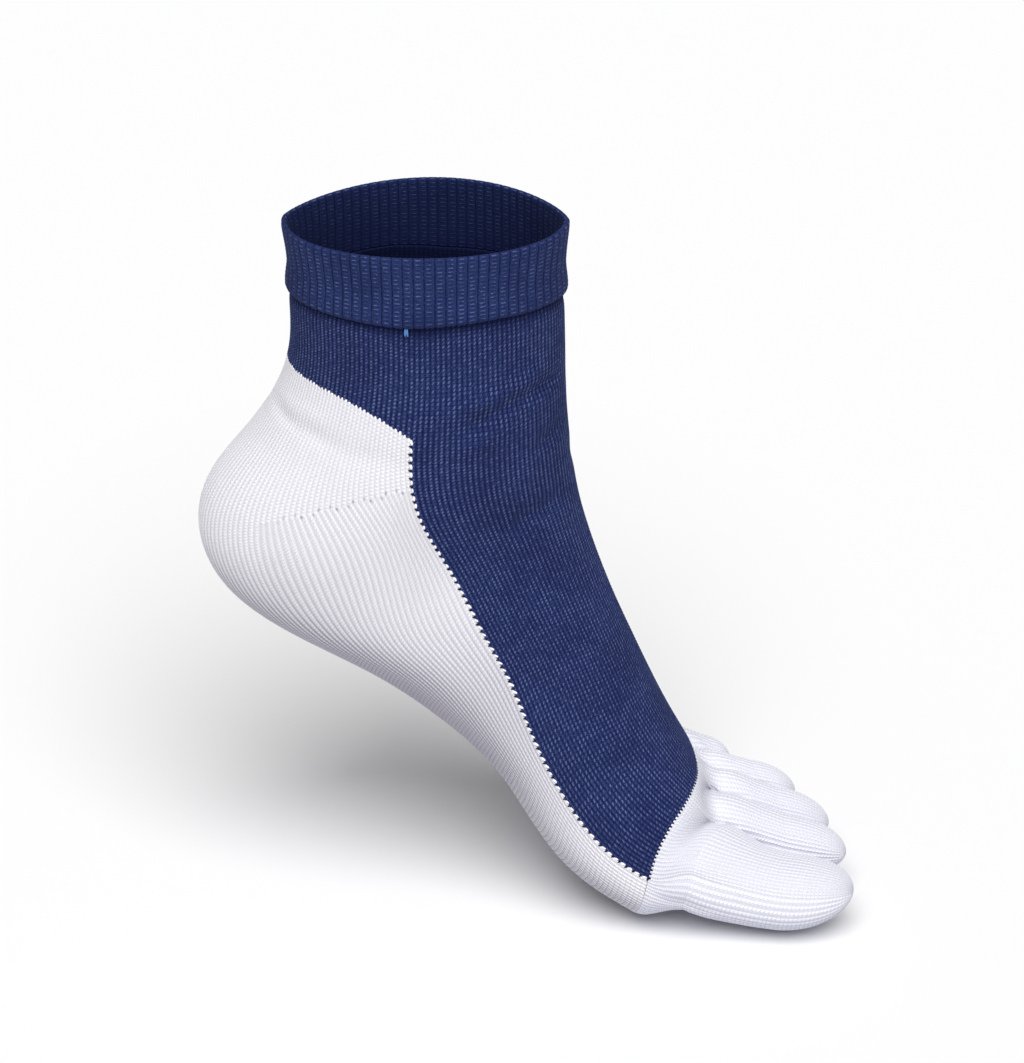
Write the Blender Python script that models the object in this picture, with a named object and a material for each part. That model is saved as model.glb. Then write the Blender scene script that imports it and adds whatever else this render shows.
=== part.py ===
"""A five-toe ankle sock for the left foot, hollow, in the shape it takes when worn on tiptoe.

The frame: metres, +Z up, the origin in the middle of the cuff's opening, +X towards the toes, -Y towards the
inner side of the foot, where the big toe is. The sizes below are in millimetres.

The sock is one fan of sections. Each is cut through the sock from a point on the back of the leg, the heel or
the sole to a point on the shin or the instep. A place on the sock is a section number and a share of the way
round: 0 on the front line, 0.25 on the inner side, 0.5 on the back line and 0.75 on the outer side.
"""

from math import pi
from typing import NamedTuple

import bmesh
import bpy
import numpy as np

MM = 0.001
WALL = 1.6
CUFF_INSIDE = 1.5
CUFF_BULGE = 1.0
CUFF_ROUNDING = 6
RIB_COUNT = 72
RIB_HEIGHT = 0.35
SEAM_GAP = 0.3
NAVY = (0.024, 0.038, 0.122)
WHITE = (0.79, 0.78, 0.84)
TOE_WHITE = (0.88, 0.88, 0.96)
KNIT_ROUGHNESS = 0.85


class Section(NamedTuple):
    """One section of the fan."""

    back_x: float
    back_z: float
    front_x: float
    front_z: float
    inner: float          # half-width on the inner side
    outer: float          # half-width on the outer side
    inner_at: float       # where the inner side is widest, as a share of the way from back to front
    outer_at: float       # the same for the outer side
    crest: float          # how far the front line lies towards the outer side
    front_inner: float    # superellipse exponents of the four quarters: 2 is an ellipse, more is fuller
    front_outer: float
    back_inner: float
    back_outer: float
    pointed: float        # how pointed the outer half's two ends are: 0 is a plain superellipse
    sweep: float          # how far the outer side is swept back along the foot, for each mm of width
    seam: float           # the side seam, as a share of the way round from the front line


SECTIONS = (
    Section(-44.9, -1.5, 43.2, 2.0, 31, 31, .50, .50, 0, 2.05, 2.00, 2.05, 2.00, .33, .00, .250),
    Section(-43.2, -13.0, 42.0, -11.0, 31, 31, .50, .50, 0, 2.00, 1.92, 2.00, 1.92, .16, .00, .250),
    Section(-43.0, -26.0, 42.0, -25.0, 31, 31, .50, .50, 0, 1.95, 1.86, 1.95, 1.86, .04, .00, .250),
    Section(-43.0, -41.0, 42.4, -39.0, 32, 32, .50, .50, 0, 1.90, 1.90, 1.90, 1.90, .00, .00, .250),
    Section(-47.2, -57.0, 42.8, -54.0, 34, 33, .52, .52, 0, 2.00, 2.00, 1.90, 1.90, .00, .00, .252),
    Section(-57.3, -74.0, 43.8, -68.0, 35, 34, .55, .52, 0, 2.00, 2.00, 1.90, 1.90, .00, .00, .248),
    Section(-69.3, -91.0, 45.5, -81.5, 35, 35, .55, .48, 0, 2.00, 2.00, 2.05, 2.05, .00, .00, .222),
    Section(-73.0, -108.5, 47.8, -94.0, 34, 36, .52, .44, 0, 2.00, 2.00, 2.15, 2.20, .00, .02, .188),
    Section(-65.5, -126.5, 51.2, -106.0, 33, 36, .50, .40, 0, 2.00, 2.00, 2.10, 2.30, .00, .04, .175),
    Section(-47.0, -139.5, 55.5, -118.0, 33, 36, .48, .36, -1, 2.00, 2.00, 2.00, 2.35, .00, .07, .180),
    Section(-22.0, -151.0, 60.8, -130.5, 33, 37, .48, .34, -3, 2.00, 1.95, 1.95, 2.35, .00, .10, .203),
    Section(1.5, -165.5, 66.6, -143.0, 34, 39, .47, .32, -5, 2.00, 1.90, 1.95, 2.35, .00, .14, .236),
    Section(21.6, -183.8, 72.8, -155.5, 37, 42, .45, .31, -8, 2.00, 1.85, 2.05, 2.35, .00, .18, .259),
    Section(38.5, -208.5, 79.4, -168.0, 41, 45, .43, .30, -9, 2.00, 1.80, 2.30, 2.40, .00, .21, .250),
    Section(60.5, -225.0, 86.0, -180.0, 43, 46, .44, .30, -9, 2.00, 1.80, 2.50, 2.45, .00, .22, .241),
)
LAST = len(SECTIONS) - 1
WELT_END = 1.8

FRONT_COLUMNS = 20
BACK_COLUMNS = 20
LEG_ROWS = 4
HEEL_SIDE_ROWS = 2
GORE_ROWS = 8
FOOT_ROWS = 22
CUFF_ROWS = (0.0, 0.08, 0.5, 0.92, 1.0)

HALF_WALES = 36
NARROW_WALES = 14         # wales left on each side of the back line at the turn of the heel
HEEL_TOP = 3.4            # section number of the heel's upper edge on the back line
HEEL_TOP_DROP = 0.8       # and how much further down it lies at the side seam
HEEL_TOP_CURVE = 3.5
TURN = 6.1                # section number of the turn of the heel on the back line
TURN_DROP = 1.65
SIDE_SHARE = 0.31         # share of the upper heel's courses that are knitted before the gore
SOLE_START = 9.6          # section number on the sole of the first course that is full width again
SOLE_CURVE = 1.6
TOE_LINE_DIP = 0.45       # how far the navy edge is set back between the front line and the seam
TOE_LINE_SPAN = 0.34


class Web(NamedTuple):
    """The upper and lower end of the line between two toes, or of the free side of the first or last toe."""

    upper: tuple[float, float, float]
    lower: tuple[float, float, float]
    bulge: float          # how far the line bows outwards, towards the outer side of the foot


class Toe(NamedTuple):
    """One toe tube, from its root to its tip."""

    name: str
    wales: int            # wales on its upper side
    crown: tuple[float, float, float]    # top of its root
    pad: tuple[float, float, float]      # underside of its root
    tip: tuple[float, float, float]
    half_width: float
    half_height: float
    arch: float           # how far its axis rises above the straight line to the tip


WEBS = (
    Web((90.0, -42.5, -203.0), (87.0, -42.5, -214.0), -1.8),
    Web((101.0, -15.2, -202.0), (93.0, -14.8, -216.5), 0.0),
    Web((101.5, 3.8, -204.5), (92.5, 4.0, -216.5), 0.0),
    Web((98.0, 19.8, -205.5), (88.5, 19.6, -215.0), 0.0),
    Web((88.0, 34.0, -206.0), (79.0, 33.6, -213.5), 0.0),
    Web((75.0, 47.5, -204.5), (70.0, 47.0, -211.0), 1.8),
)
TOES = (
    Toe("toe_1_big", 22, (94.5, -29.5, -196.0), (89.0, -29.5, -221.0), (140.5, -29.0, -214.0), 13.9, 11.5, -3.8),
    Toe("toe_2", 14, (95.5, -6.0, -195.0), (90.0, -5.5, -220.0), (137.0, -5.8, -214.0), 8.7, 8.9, 0.0),
    Toe("toe_3", 13, (94.0, 11.8, -196.5), (88.0, 11.8, -219.5), (130.5, 12.6, -214.5), 7.8, 7.9, 0.8),
    Toe("toe_4", 12, (88.5, 27.0, -198.5), (82.5, 26.8, -217.5), (118.5, 28.2, -212.5), 7.0, 7.4, 0.8),
    Toe("toe_5_little", 11, (79.5, 41.0, -199.0), (74.0, 40.8, -215.0), (96.0, 43.2, -212.0), 7.1, 6.6, 0.6),
)
ARC_STEPS = 6
SIDE_STEPS = 2
TOE_ROWS = 8
BAND_ROWS = 4
SIDE_HALF = 0.012         # half the share of the way round that a free side of the toes takes
TOE_BLEND = 0.35          # share of a toe's length over which its root turns into a round section
TIP_START = 0.55          # where the rounding of the tip begins
TIP_RING = 0.985          # place of the last ring, which a flat cap closes
TOE_ROUNDING = 2.15
WEB_CORNER = pi / 7       # angle on a toe's section of the ends of its upper and lower arc

FORM_STEPS = 20
QUARTER_STEPS = 48


def spline(rows, places):
    """Read a natural cubic spline through table rows that lie at whole numbers."""
    last = len(rows) - 1
    matrix = np.eye(last + 1)
    bend = np.zeros_like(rows)
    for i in range(1, last):
        matrix[i, i - 1:i + 2] = (1, 4, 1)
        bend[i] = 6 * (rows[i + 1] - 2 * rows[i] + rows[i - 1])
    bend = np.linalg.solve(matrix, bend)
    i = np.clip(np.floor(places).astype(int), 0, last - 1)
    u = (places - i)[:, None]
    straight = rows[i] * (1 - u) + rows[i + 1] * u
    return straight + bend[i] * ((1 - u) ** 3 - (1 - u)) / 6 + bend[i + 1] * (u ** 3 - u) / 6


def quarter(middle, end, widest, width, exponent, pointed=0.0):
    """Trace a superellipse quarter from the front or back line to a side, evenly by length."""
    angle = np.linspace(0, pi / 2, QUARTER_STEPS + 1)
    along = widest + (end - widest) * np.cos(angle) ** (2 / exponent)
    across = middle + (width - middle) * np.sin(angle) ** (2 / (exponent * (1 - pointed)))
    length = np.concatenate([[0], np.cumsum(np.hypot(np.diff(along), np.diff(across)))])
    even = np.linspace(0, length[-1], QUARTER_STEPS + 1)
    return np.interp(even, length, along), np.interp(even, length, across)


def section_outline(values):
    """Give the closed outline of one section, from the front line round by the inner side."""
    cut = Section(*values)
    back = np.array([cut.back_x, cut.back_z])
    front = np.array([cut.front_x, cut.front_z])
    depth = np.linalg.norm(front - back)
    forward = (front - back) / depth
    onward = np.array([forward[1], -forward[0]])
    quarters = (
        quarter(cut.crest, depth, depth * cut.inner_at, -cut.inner, cut.front_inner),
        quarter(0, 0, depth * cut.inner_at, -cut.inner, cut.back_inner),
        quarter(0, 0, depth * cut.outer_at, cut.outer, cut.back_outer, cut.pointed),
        quarter(cut.crest, depth, depth * cut.outer_at, cut.outer, cut.front_outer, cut.pointed),
    )
    outline = []
    for k, (along, across) in enumerate(quarters):
        if k % 2:
            along, across = along[::-1], across[::-1]
        flat = back + np.outer(along, forward) - np.outer(cut.sweep * across, onward)
        points = np.stack([flat[:, 0], across, flat[:, 1]], axis=1)
        outline.append(points if k == 3 else points[:-1])
    return np.concatenate(outline)


class Form:
    """The sock's outer surface, from the rim to the last section."""

    def __init__(self):
        places = np.linspace(0, LAST, LAST * FORM_STEPS + 1)
        self.rows = spline(np.array(SECTIONS), places)
        self.table = np.array([section_outline(row) for row in self.rows])

    def at(self, place, share):
        """Points of the surface, for arrays of section numbers and shares of the way round."""
        row = np.clip(place * FORM_STEPS, 0, len(self.table) - 1.0001)
        column = (share % 1.0) * 4 * QUARTER_STEPS
        i, j = row.astype(int), np.minimum(column.astype(int), 4 * QUARTER_STEPS - 1)
        u, v = (row - i)[..., None], (column - j)[..., None]
        upper = self.table[i, j] * (1 - v) + self.table[i, j + 1] * v
        lower = self.table[i + 1, j] * (1 - v) + self.table[i + 1, j + 1] * v
        return upper * (1 - u) + lower * u

    def onward(self, place, share):
        """Direction down the leg and along the foot, and the normal that points out of the sock."""
        step_place, step_share = 0.15, 0.008
        place = np.clip(place, step_place, LAST - step_place)
        down = self.at(place + step_place, share) - self.at(place - step_place, share)
        round_it = self.at(place, share + step_share) - self.at(place, share - step_share)
        return unit(down), unit(np.cross(round_it, down))

    def seam(self, place):
        """Share of the way round at which the side seam lies."""
        return np.interp(place, np.linspace(0, LAST, len(self.rows)), self.rows[:, -1])


def unit(vectors):
    """Scale vectors to length 1."""
    return vectors / np.linalg.norm(vectors, axis=-1, keepdims=True)


def toe_line(share):
    """Section number of the edge where the toe base begins."""
    side = np.minimum(np.abs((share + 0.5) % 1.0 - 0.5) / TOE_LINE_SPAN, 1)
    return LAST - TOE_LINE_DIP * np.sin(pi * side) ** 2


def heel_top(wale):
    """Section number of the heel's upper edge; wale is 0 on the back line and 1 at the seam."""
    return HEEL_TOP + HEEL_TOP_DROP * np.abs(wale) ** HEEL_TOP_CURVE


def upper_heel(course, wale):
    """Section number on a course of the upper heel: 0 is its upper edge, 1 the turn of the heel."""
    return heel_top(wale) * (1 - course) + (TURN + TURN_DROP * wale ** 2) * course


def gore(wale):
    """Section number at which a wale crosses the gore line."""
    share = np.clip((1 - np.abs(wale)) / (1 - NARROW_WALES / HALF_WALES), 0, 1)
    return upper_heel(SIDE_SHARE + (1 - SIDE_SHARE) * share, wale)


def sole_start(wale):
    """Section number on the first course that is full width again below the heel."""
    side = gore(np.ones(1))[0]
    return SOLE_START - (SOLE_START - side) * np.abs(wale) ** SOLE_CURVE


def lower_heel(course, wale):
    """Section number on a course of the lower heel: 0 is the turn of the heel, 1 is full width again."""
    narrow = NARROW_WALES / HALF_WALES
    started = np.clip((np.abs(wale) - narrow) / (1 - narrow), 0, 1)
    knitted = np.clip((course - started) / np.maximum(1 - started, 1e-6), 0, 1)
    return gore(wale) + (sole_start(wale) - gore(wale)) * knitted


def grid_faces(index, closed=False):
    """Quads over a grid of vertex numbers."""
    columns = index.shape[1]
    faces = []
    for i in range(index.shape[0] - 1):
        for j in range(columns if closed else columns - 1):
            k = (j + 1) % columns
            faces.append((index[i, j], index[i, k], index[i + 1, k], index[i + 1, j]))
    return faces


def vertex_normals(points, faces):
    """Area-weighted normals of a surface's points."""
    normals = np.zeros_like(points)
    for face in faces:
        a, b, c = (points[face[k]] for k in (0, 1, 2))
        d = points[face[-1]]
        normal = np.cross(b - a, d - a) + np.cross(c - b, d - b)
        for k in face:
            normals[k] += normal
    return unit(normals)


def pull_in(border, inside):
    """Move a border's points into their own piece by half the seam gap, square to the border."""
    tangent = np.gradient(border, axis=0)
    towards = inside - border
    tangent = unit(tangent)
    towards -= np.sum(towards * tangent, axis=1, keepdims=True) * tangent
    return border + unit(towards) * SEAM_GAP / 2


def pull_in_sides(points):
    """Move all four borders of a grid of points into the piece; corners aim at the next row."""
    rows, sides = points.copy(), points.copy()
    rows[0] = pull_in(points[0], points[1])
    rows[-1] = pull_in(points[-1], points[-2])
    last = len(points) - 1
    aim = np.clip(np.arange(last + 1), 1, last - 1)
    sides[:, 0] = pull_in(points[:, 0], points[aim, 1])
    sides[:, -1] = pull_in(points[:, -1], points[aim, -2])
    return rows + sides - points


def add_wall(name, points, normals, faces, material, inside=WALL, raised=0.0):
    """Make a closed wall: the outer points, raised where there is relief, over a plain inside."""
    count = len(points)
    outer = points + normals * np.reshape(raised, (-1, 1))
    inner = points - normals * inside
    border = {}
    for face in faces:
        for a, b in zip(face, face[1:] + face[:1]):
            border[(a, b)] = (b, a) not in border
            border[(b, a)] = border.get((b, a), False) and border[(a, b)]
    edges = [edge for edge in border if border[edge]]
    mesh = bpy.data.meshes.new(name)
    shell = bmesh.new()
    vertices = [shell.verts.new(point * MM) for point in np.concatenate([outer, inner])]
    for face in faces:
        shell.faces.new([vertices[k] for k in face])
        shell.faces.new([vertices[k + count] for k in reversed(face)])
    for a, b in edges:
        shell.faces.new((vertices[b], vertices[a], vertices[a + count], vertices[b + count]))
    bmesh.ops.recalc_face_normals(shell, faces=shell.faces)
    shell.to_mesh(mesh)
    shell.free()
    mesh.shade_smooth()
    mesh.set_sharp_from_angle(angle=pi / 4)
    mesh.materials.append(material)
    piece = bpy.data.objects.new(name, mesh)
    bpy.data.collections["sock"].objects.link(piece)
    return piece


def add_cuff(form, material):
    """The doubled cuff, with a rib raised on every other column of its outer points."""
    rows = np.array(CUFF_ROWS)
    place, share = np.meshgrid(rows * WELT_END, np.arange(2 * RIB_COUNT) / (2 * RIB_COUNT), indexing="ij")
    points = form.at(place, share)
    down, normals = form.onward(place, share)
    points[-1] -= down[-1] * SEAM_GAP / 2
    index = np.arange(points[..., 0].size).reshape(place.shape)
    bulge = CUFF_BULGE * (1 - np.abs(2 * rows - 1) ** CUFF_ROUNDING)[:, None]
    rib = RIB_HEIGHT * (np.arange(2 * RIB_COUNT) % 2)[None, :] * (bulge > 0)
    faces = grid_faces(index, closed=True)
    flat = points.reshape(-1, 3), normals.reshape(-1, 3)
    add_wall("cuff_welt", *flat, faces, material, CUFF_INSIDE, (bulge + rib).ravel())


def add_leg(form, material):
    """The navy tube of the leg, whose front half runs on as the flap over the instep."""
    side = heel_top(1.0)
    front = np.linspace(-1, 1, FRONT_COLUMNS + 1)
    back = np.linspace(1, -1, BACK_COLUMNS + 1)[1:-1]
    places, shares = [], []
    for down in np.linspace(0, 1, LEG_ROWS + 1):
        front_place = np.full(front.shape, WELT_END + (side - WELT_END) * down)
        back_place = WELT_END + (heel_top(back) - WELT_END) * down
        places.append(np.concatenate([front_place, back_place]))
        shares.append(np.concatenate([front * form.seam(front_place),
                                      0.5 - back * (0.5 - form.seam(back_place))]))
    tube = form.at(np.array(places), np.array(shares))
    tube_normals = form.onward(np.array(places), np.array(shares))[1]
    end = toe_line(form.seam(float(LAST)))
    seam_places = np.concatenate([np.linspace(side, gore(1.0), HEEL_SIDE_ROWS + 1),
                                  np.linspace(gore(1.0), end, FOOT_ROWS + 1)[1:]])
    down = ((seam_places - side) / (end - side))[:, None]
    place = side + (toe_line(front * form.seam(end)) - side)[None, :] * down
    share = front[None, :] * form.seam(place)
    flap = pull_in_sides(form.at(place, share))
    flap_normals = form.onward(place, share)[1]
    first = unit(tube[1] - tube[0])
    tube[0] += first * SEAM_GAP / 2
    hem = np.arange(FRONT_COLUMNS, tube.shape[1] + 1) % tube.shape[1]
    tube[-1, hem] = pull_in(tube[-1, hem], tube[-2, hem])
    corners = np.array([FRONT_COLUMNS, 0])
    tube[-1, corners] += (flap[1] - form.at(place, share)[1])[[-1, 0]]
    tube_index = np.arange(tube[..., 0].size).reshape(tube.shape[:2])
    flap_index = np.concatenate([
        tube_index[-1:, :FRONT_COLUMNS + 1],
        tube_index.size + np.arange(flap[1:, :, 0].size).reshape(flap[1:].shape[:2]),
    ])
    faces = grid_faces(tube_index, closed=True) + grid_faces(flap_index)
    points = np.concatenate([tube.reshape(-1, 3), flap[1:].reshape(-1, 3)])
    normals = np.concatenate([tube_normals.reshape(-1, 3), flap_normals[1:].reshape(-1, 3)])
    add_wall("leg_instep", points, normals, faces, material)


def add_panel(form, name, places, wales, material):
    """A white panel over the back half, from the section number and the wale of its points."""
    share = 0.5 - wales * (0.5 - form.seam(places))
    points = pull_in_sides(form.at(places, share))
    normals = form.onward(places, share)[1]
    faces = grid_faces(np.arange(places.size).reshape(places.shape))
    add_wall(name, points.reshape(-1, 3), normals.reshape(-1, 3), faces, material)


def add_heel(form, material):
    """The upper heel: full-width courses first, then courses that grow shorter along the gore."""
    spread = np.linspace(1, -1, BACK_COLUMNS + 1)[None, :]
    narrowing = np.linspace(0, 1, GORE_ROWS + 1)[:, None]
    full = np.linspace(0, SIDE_SHARE, HEEL_SIDE_ROWS + 1)[:-1, None]
    width = np.concatenate([np.ones_like(full), 1 - narrowing * (1 - NARROW_WALES / HALF_WALES)])
    course = np.concatenate([full, SIDE_SHARE + (1 - SIDE_SHARE) * narrowing])
    wales = width * spread
    add_panel(form, "heel", upper_heel(course, wales), wales, material)


def add_sole(form, material):
    """The lower heel, with courses that grow longer along the gore, and the sole up to the toe base."""
    spread = np.linspace(1, -1, BACK_COLUMNS + 1)[None, :]
    widening = np.linspace(0, 1, GORE_ROWS + 1)[:, None]
    narrow = NARROW_WALES / HALF_WALES
    heel_wales = (narrow + (1 - narrow) * widening) * spread
    heel_places = lower_heel(widening, heel_wales)
    down = np.linspace(0, 1, FOOT_ROWS + 1)[1:, None]
    share = 0.5 - spread * (0.5 - form.seam(float(LAST)))
    sole_places = sole_start(spread) + (toe_line(share) - sole_start(spread)) * down
    wales = np.concatenate([heel_wales, np.repeat(spread, FOOT_ROWS, axis=0)])
    add_panel(form, "sole", np.concatenate([heel_places, sole_places]), wales, material)


def arc(start, top, end, steps):
    """Points of half an ellipse from start over top to end."""
    start, top, end = (np.array(point) for point in (start, top, end))
    middle = (start + end) / 2
    angle = np.linspace(0, pi, steps + 1)[:, None]
    return middle + (start - middle) * np.cos(angle) + (top - middle) * np.sin(angle)


def web_line(web, steps):
    """Points down the line between two toes, bowed where it is a free side."""
    upper, lower = np.array(web.upper), np.array(web.lower)
    down = np.linspace(0, 1, steps + 1)[:, None]
    return upper + (lower - upper) * down + np.array([0, web.bulge, 0]) * np.sin(pi * down)


def toe_root(number):
    """Closed ring round a toe's root: over the top, down the outer web, under, and up the inner web."""
    toe, inner, outer = TOES[number], WEBS[number], WEBS[number + 1]
    top = arc(inner.upper, toe.crown, outer.upper, ARC_STEPS)
    under = arc(outer.lower, toe.pad, inner.lower, ARC_STEPS)
    return np.concatenate([top[:-1], web_line(outer, SIDE_STEPS)[:-1],
                           under[:-1], web_line(inner, SIDE_STEPS)[:0:-1]])


def toe_direction(number):
    """Direction of a toe's axis."""
    toe = TOES[number]
    return unit(np.array(toe.tip) - (np.array(toe.crown) + np.array(toe.pad)) / 2)


def across_axis(vectors, axis):
    """Turn vectors square to an axis and scale them to length 1."""
    return unit(vectors - (vectors @ axis)[:, None] * axis)


def add_toe(number, material):
    """One toe tube: its root's ring turns into round sections that close at the tip."""
    toe = TOES[number]
    axis = toe_direction(number)
    root = toe_root(number)
    centre = (np.array(toe.crown) + np.array(toe.pad)) / 2
    length = np.linalg.norm(np.array(toe.tip) - centre)
    sideways = unit(np.cross(axis, (0, 0, 1)))
    upwards = np.cross(sideways, axis)
    top = np.linspace(pi - WEB_CORNER, WEB_CORNER, ARC_STEPS + 1)[:-1]
    outer = np.linspace(WEB_CORNER, -WEB_CORNER, SIDE_STEPS + 1)[:-1]
    angle = np.concatenate([top, outer, top - pi, outer - pi])
    round_side = -sideways * (np.sign(np.cos(angle)) * np.abs(np.cos(angle)) ** (2 / TOE_ROUNDING))[:, None]
    round_up = upwards * (np.sign(np.sin(angle)) * np.abs(np.sin(angle)) ** (2 / TOE_ROUNDING))[:, None]
    root_height = np.linalg.norm(np.array(toe.crown) - centre)
    inwards = across_axis(root - centre, axis)
    for web, free in ((number, number == 0), (number + 1, number == len(TOES) - 1)):
        if not free:
            near = np.abs(root[:, 1] - WEBS[web].upper[1]) < 1.0
            root[near, 1] += SEAM_GAP / 2 if web == number else -SEAM_GAP / 2
    ahead = ((root - centre) @ axis)[:, None] * axis
    flat = root - centre - ahead
    rings = []
    for step in np.sin(np.linspace(0, 1, TOE_ROWS + 1) * np.arcsin(TIP_RING)):
        blend = np.clip(step / TOE_BLEND, 0, 1)
        blend = blend * blend * (3 - 2 * blend)
        tip = max(0.0, (step - TIP_START) / (1 - TIP_START))
        closing = np.sqrt(1 - tip * tip)
        height = root_height + (toe.half_height - root_height) * min(1.0, 2 * step)
        middle = centre + axis * (SEAM_GAP / 2 + length * step) + upwards * toe.arch * 4 * step * (1 - step)
        section = (round_side * toe.half_width + round_up * height) * closing
        rings.append(middle + flat * (1 - blend) + section * blend + ahead * (1 - step))
    points = np.concatenate(rings)
    index = np.arange(len(points)).reshape(TOE_ROWS + 1, -1)
    faces = [face[::-1] for face in grid_faces(index, closed=True)]
    faces.append(tuple(index[-1]))
    normals = vertex_normals(points, faces)
    if np.sum(normals[index[0]] * inwards) < 0:
        normals = -normals
    normals[index[0]] = across_axis(normals[index[0]], axis)
    add_wall(toe.name, points, normals, faces, material)


def toe_shares():
    """Shares of the way round at which the webs' upper ends meet the toe line, from the inner side."""
    wales = np.array([toe.wales for toe in TOES])
    across = np.concatenate([[0], np.cumsum(wales)]) / wales.sum()
    return (0.25 - SIDE_HALF) * (1 - 2 * across)


def add_toe_base(form, material):
    """The band round the forefoot, lofted from the toe line to the roots of the toes."""
    corner = toe_shares()
    far, share, axis = [], [], []
    for number, toe in enumerate(TOES):
        top = arc(WEBS[number].upper, toe.crown, WEBS[number + 1].upper, ARC_STEPS)
        far.append(top[:-1])
        share.append(np.linspace(corner[number], corner[number + 1], ARC_STEPS + 1)[:-1])
        axis += [toe_direction(number)] * ARC_STEPS
    far.append(web_line(WEBS[-1], SIDE_STEPS)[:-1])
    share.append(np.linspace(corner[-1], corner[-1] - 2 * SIDE_HALF, SIDE_STEPS + 1)[:-1])
    axis += [toe_direction(len(TOES) - 1)] * SIDE_STEPS
    for number in reversed(range(len(TOES))):
        under = arc(WEBS[number + 1].lower, TOES[number].pad, WEBS[number].lower, ARC_STEPS)
        far.append(under[:-1])
        share.append(0.5 - np.linspace(corner[number + 1], corner[number], ARC_STEPS + 1)[:-1])
        axis += [toe_direction(number)] * ARC_STEPS
    far.append(web_line(WEBS[0], SIDE_STEPS)[:0:-1])
    share.append(np.linspace(corner[0] + 2 * SIDE_HALF, corner[0], SIDE_STEPS + 1)[:-1])
    axis += [toe_direction(0)] * SIDE_STEPS
    far, share, axis = np.concatenate(far), np.concatenate(share), np.array(axis)
    near = form.at(toe_line(share), share)
    down, near_normals = form.onward(toe_line(share), share)
    near = near + down * SEAM_GAP / 2
    far = far - axis * SEAM_GAP / 2
    reach = np.linalg.norm(far - near, axis=1, keepdims=True)
    rings = []
    for u in np.linspace(0, 1, BAND_ROWS + 1):
        ring = near * (2 * u ** 3 - 3 * u ** 2 + 1) + far * (3 * u ** 2 - 2 * u ** 3)
        ring += down * reach * (u ** 3 - 2 * u ** 2 + u) + axis * reach * (u ** 3 - u ** 2)
        rings.append(ring)
    points = np.concatenate(rings)
    index = np.arange(len(points)).reshape(BAND_ROWS + 1, -1)
    faces = grid_faces(index, closed=True)
    normals = vertex_normals(points, faces)
    if np.sum(normals[index[0]] * near_normals) < 0:
        normals = -normals
    normals[index[0]] = near_normals
    rim = normals[index[-1]]
    rim -= np.sum(rim * axis, axis=1)[:, None] * axis
    under_start = len(TOES) * ARC_STEPS + SIDE_STEPS
    for k, web in enumerate(WEBS[1:-1], start=1):
        down_web = np.array(web.lower) - np.array(web.upper)
        lower_corner = under_start + (len(TOES) - k) * ARC_STEPS
        rim[k * ARC_STEPS] = -down_web
        rim[lower_corner] = down_web - (down_web @ axis[lower_corner]) * axis[lower_corner]
    normals[index[-1]] = unit(rim)
    add_wall("toe_base", points, normals, faces, material)


def add_material(name, colour):
    """A matt knitted yarn."""
    material = bpy.data.materials.new(name)
    material.use_nodes = True
    shader = material.node_tree.nodes["Principled BSDF"]
    shader.inputs["Base Color"].default_value = (*colour, 1)
    shader.inputs["Roughness"].default_value = KNIT_ROUGHNESS
    shader.inputs["Metallic"].default_value = 0
    material.diffuse_color = (*colour, 1)
    return material


def main():
    """Clear the scene and build the sock's pieces."""
    for old in list(bpy.data.objects):
        bpy.data.objects.remove(old, do_unlink=True)
    bpy.context.scene.collection.children.link(bpy.data.collections.new("sock"))
    form = Form()
    navy = add_material("navy_knit", NAVY)
    white = add_material("white_knit", WHITE)
    toe_white = add_material("white_toe_knit", TOE_WHITE)
    add_cuff(form, navy)
    add_leg(form, navy)
    add_heel(form, white)
    add_sole(form, white)
    add_toe_base(form, toe_white)
    for number in range(len(TOES)):
        add_toe(number, toe_white)


if __name__ == "__main__":
    main()
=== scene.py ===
"""The finish of a five-toe ankle sock for the left foot: knitted pieces, seams, floor, light and camera.

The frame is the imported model's: metres, +Z up, the origin in the middle of the cuff's opening, +X towards
the toes and -Y towards the inner side of the foot. Sizes below are in millimetres and become metres in the
meshes.
"""

from __future__ import annotations

import logging
from dataclasses import dataclass, field
from enum import Enum
from math import asin, cos, pi, radians, sin
from typing import NamedTuple

import bpy
import numpy as np
from mathutils import Matrix, Vector


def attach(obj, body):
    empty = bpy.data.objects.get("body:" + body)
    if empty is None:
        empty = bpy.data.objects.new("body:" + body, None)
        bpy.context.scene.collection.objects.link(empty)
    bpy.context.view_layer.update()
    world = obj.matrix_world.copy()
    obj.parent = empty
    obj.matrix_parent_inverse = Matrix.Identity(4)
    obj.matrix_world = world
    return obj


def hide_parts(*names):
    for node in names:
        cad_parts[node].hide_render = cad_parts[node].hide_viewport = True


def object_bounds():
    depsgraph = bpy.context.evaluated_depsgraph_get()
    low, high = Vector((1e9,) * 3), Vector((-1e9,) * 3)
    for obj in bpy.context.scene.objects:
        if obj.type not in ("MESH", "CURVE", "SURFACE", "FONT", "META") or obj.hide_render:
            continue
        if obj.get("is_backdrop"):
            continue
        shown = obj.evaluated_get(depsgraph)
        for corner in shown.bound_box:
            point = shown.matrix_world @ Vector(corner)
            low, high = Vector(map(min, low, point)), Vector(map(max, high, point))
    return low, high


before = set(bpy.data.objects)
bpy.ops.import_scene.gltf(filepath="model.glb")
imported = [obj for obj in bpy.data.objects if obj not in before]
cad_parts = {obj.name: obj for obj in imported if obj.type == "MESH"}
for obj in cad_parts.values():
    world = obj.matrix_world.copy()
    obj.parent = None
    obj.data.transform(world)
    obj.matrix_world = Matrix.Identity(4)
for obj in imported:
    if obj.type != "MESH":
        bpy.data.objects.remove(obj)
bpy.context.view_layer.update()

log = logging.getLogger("sock")
Grid = np.ndarray
Faces = tuple[Grid, Grid, Grid]
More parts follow.
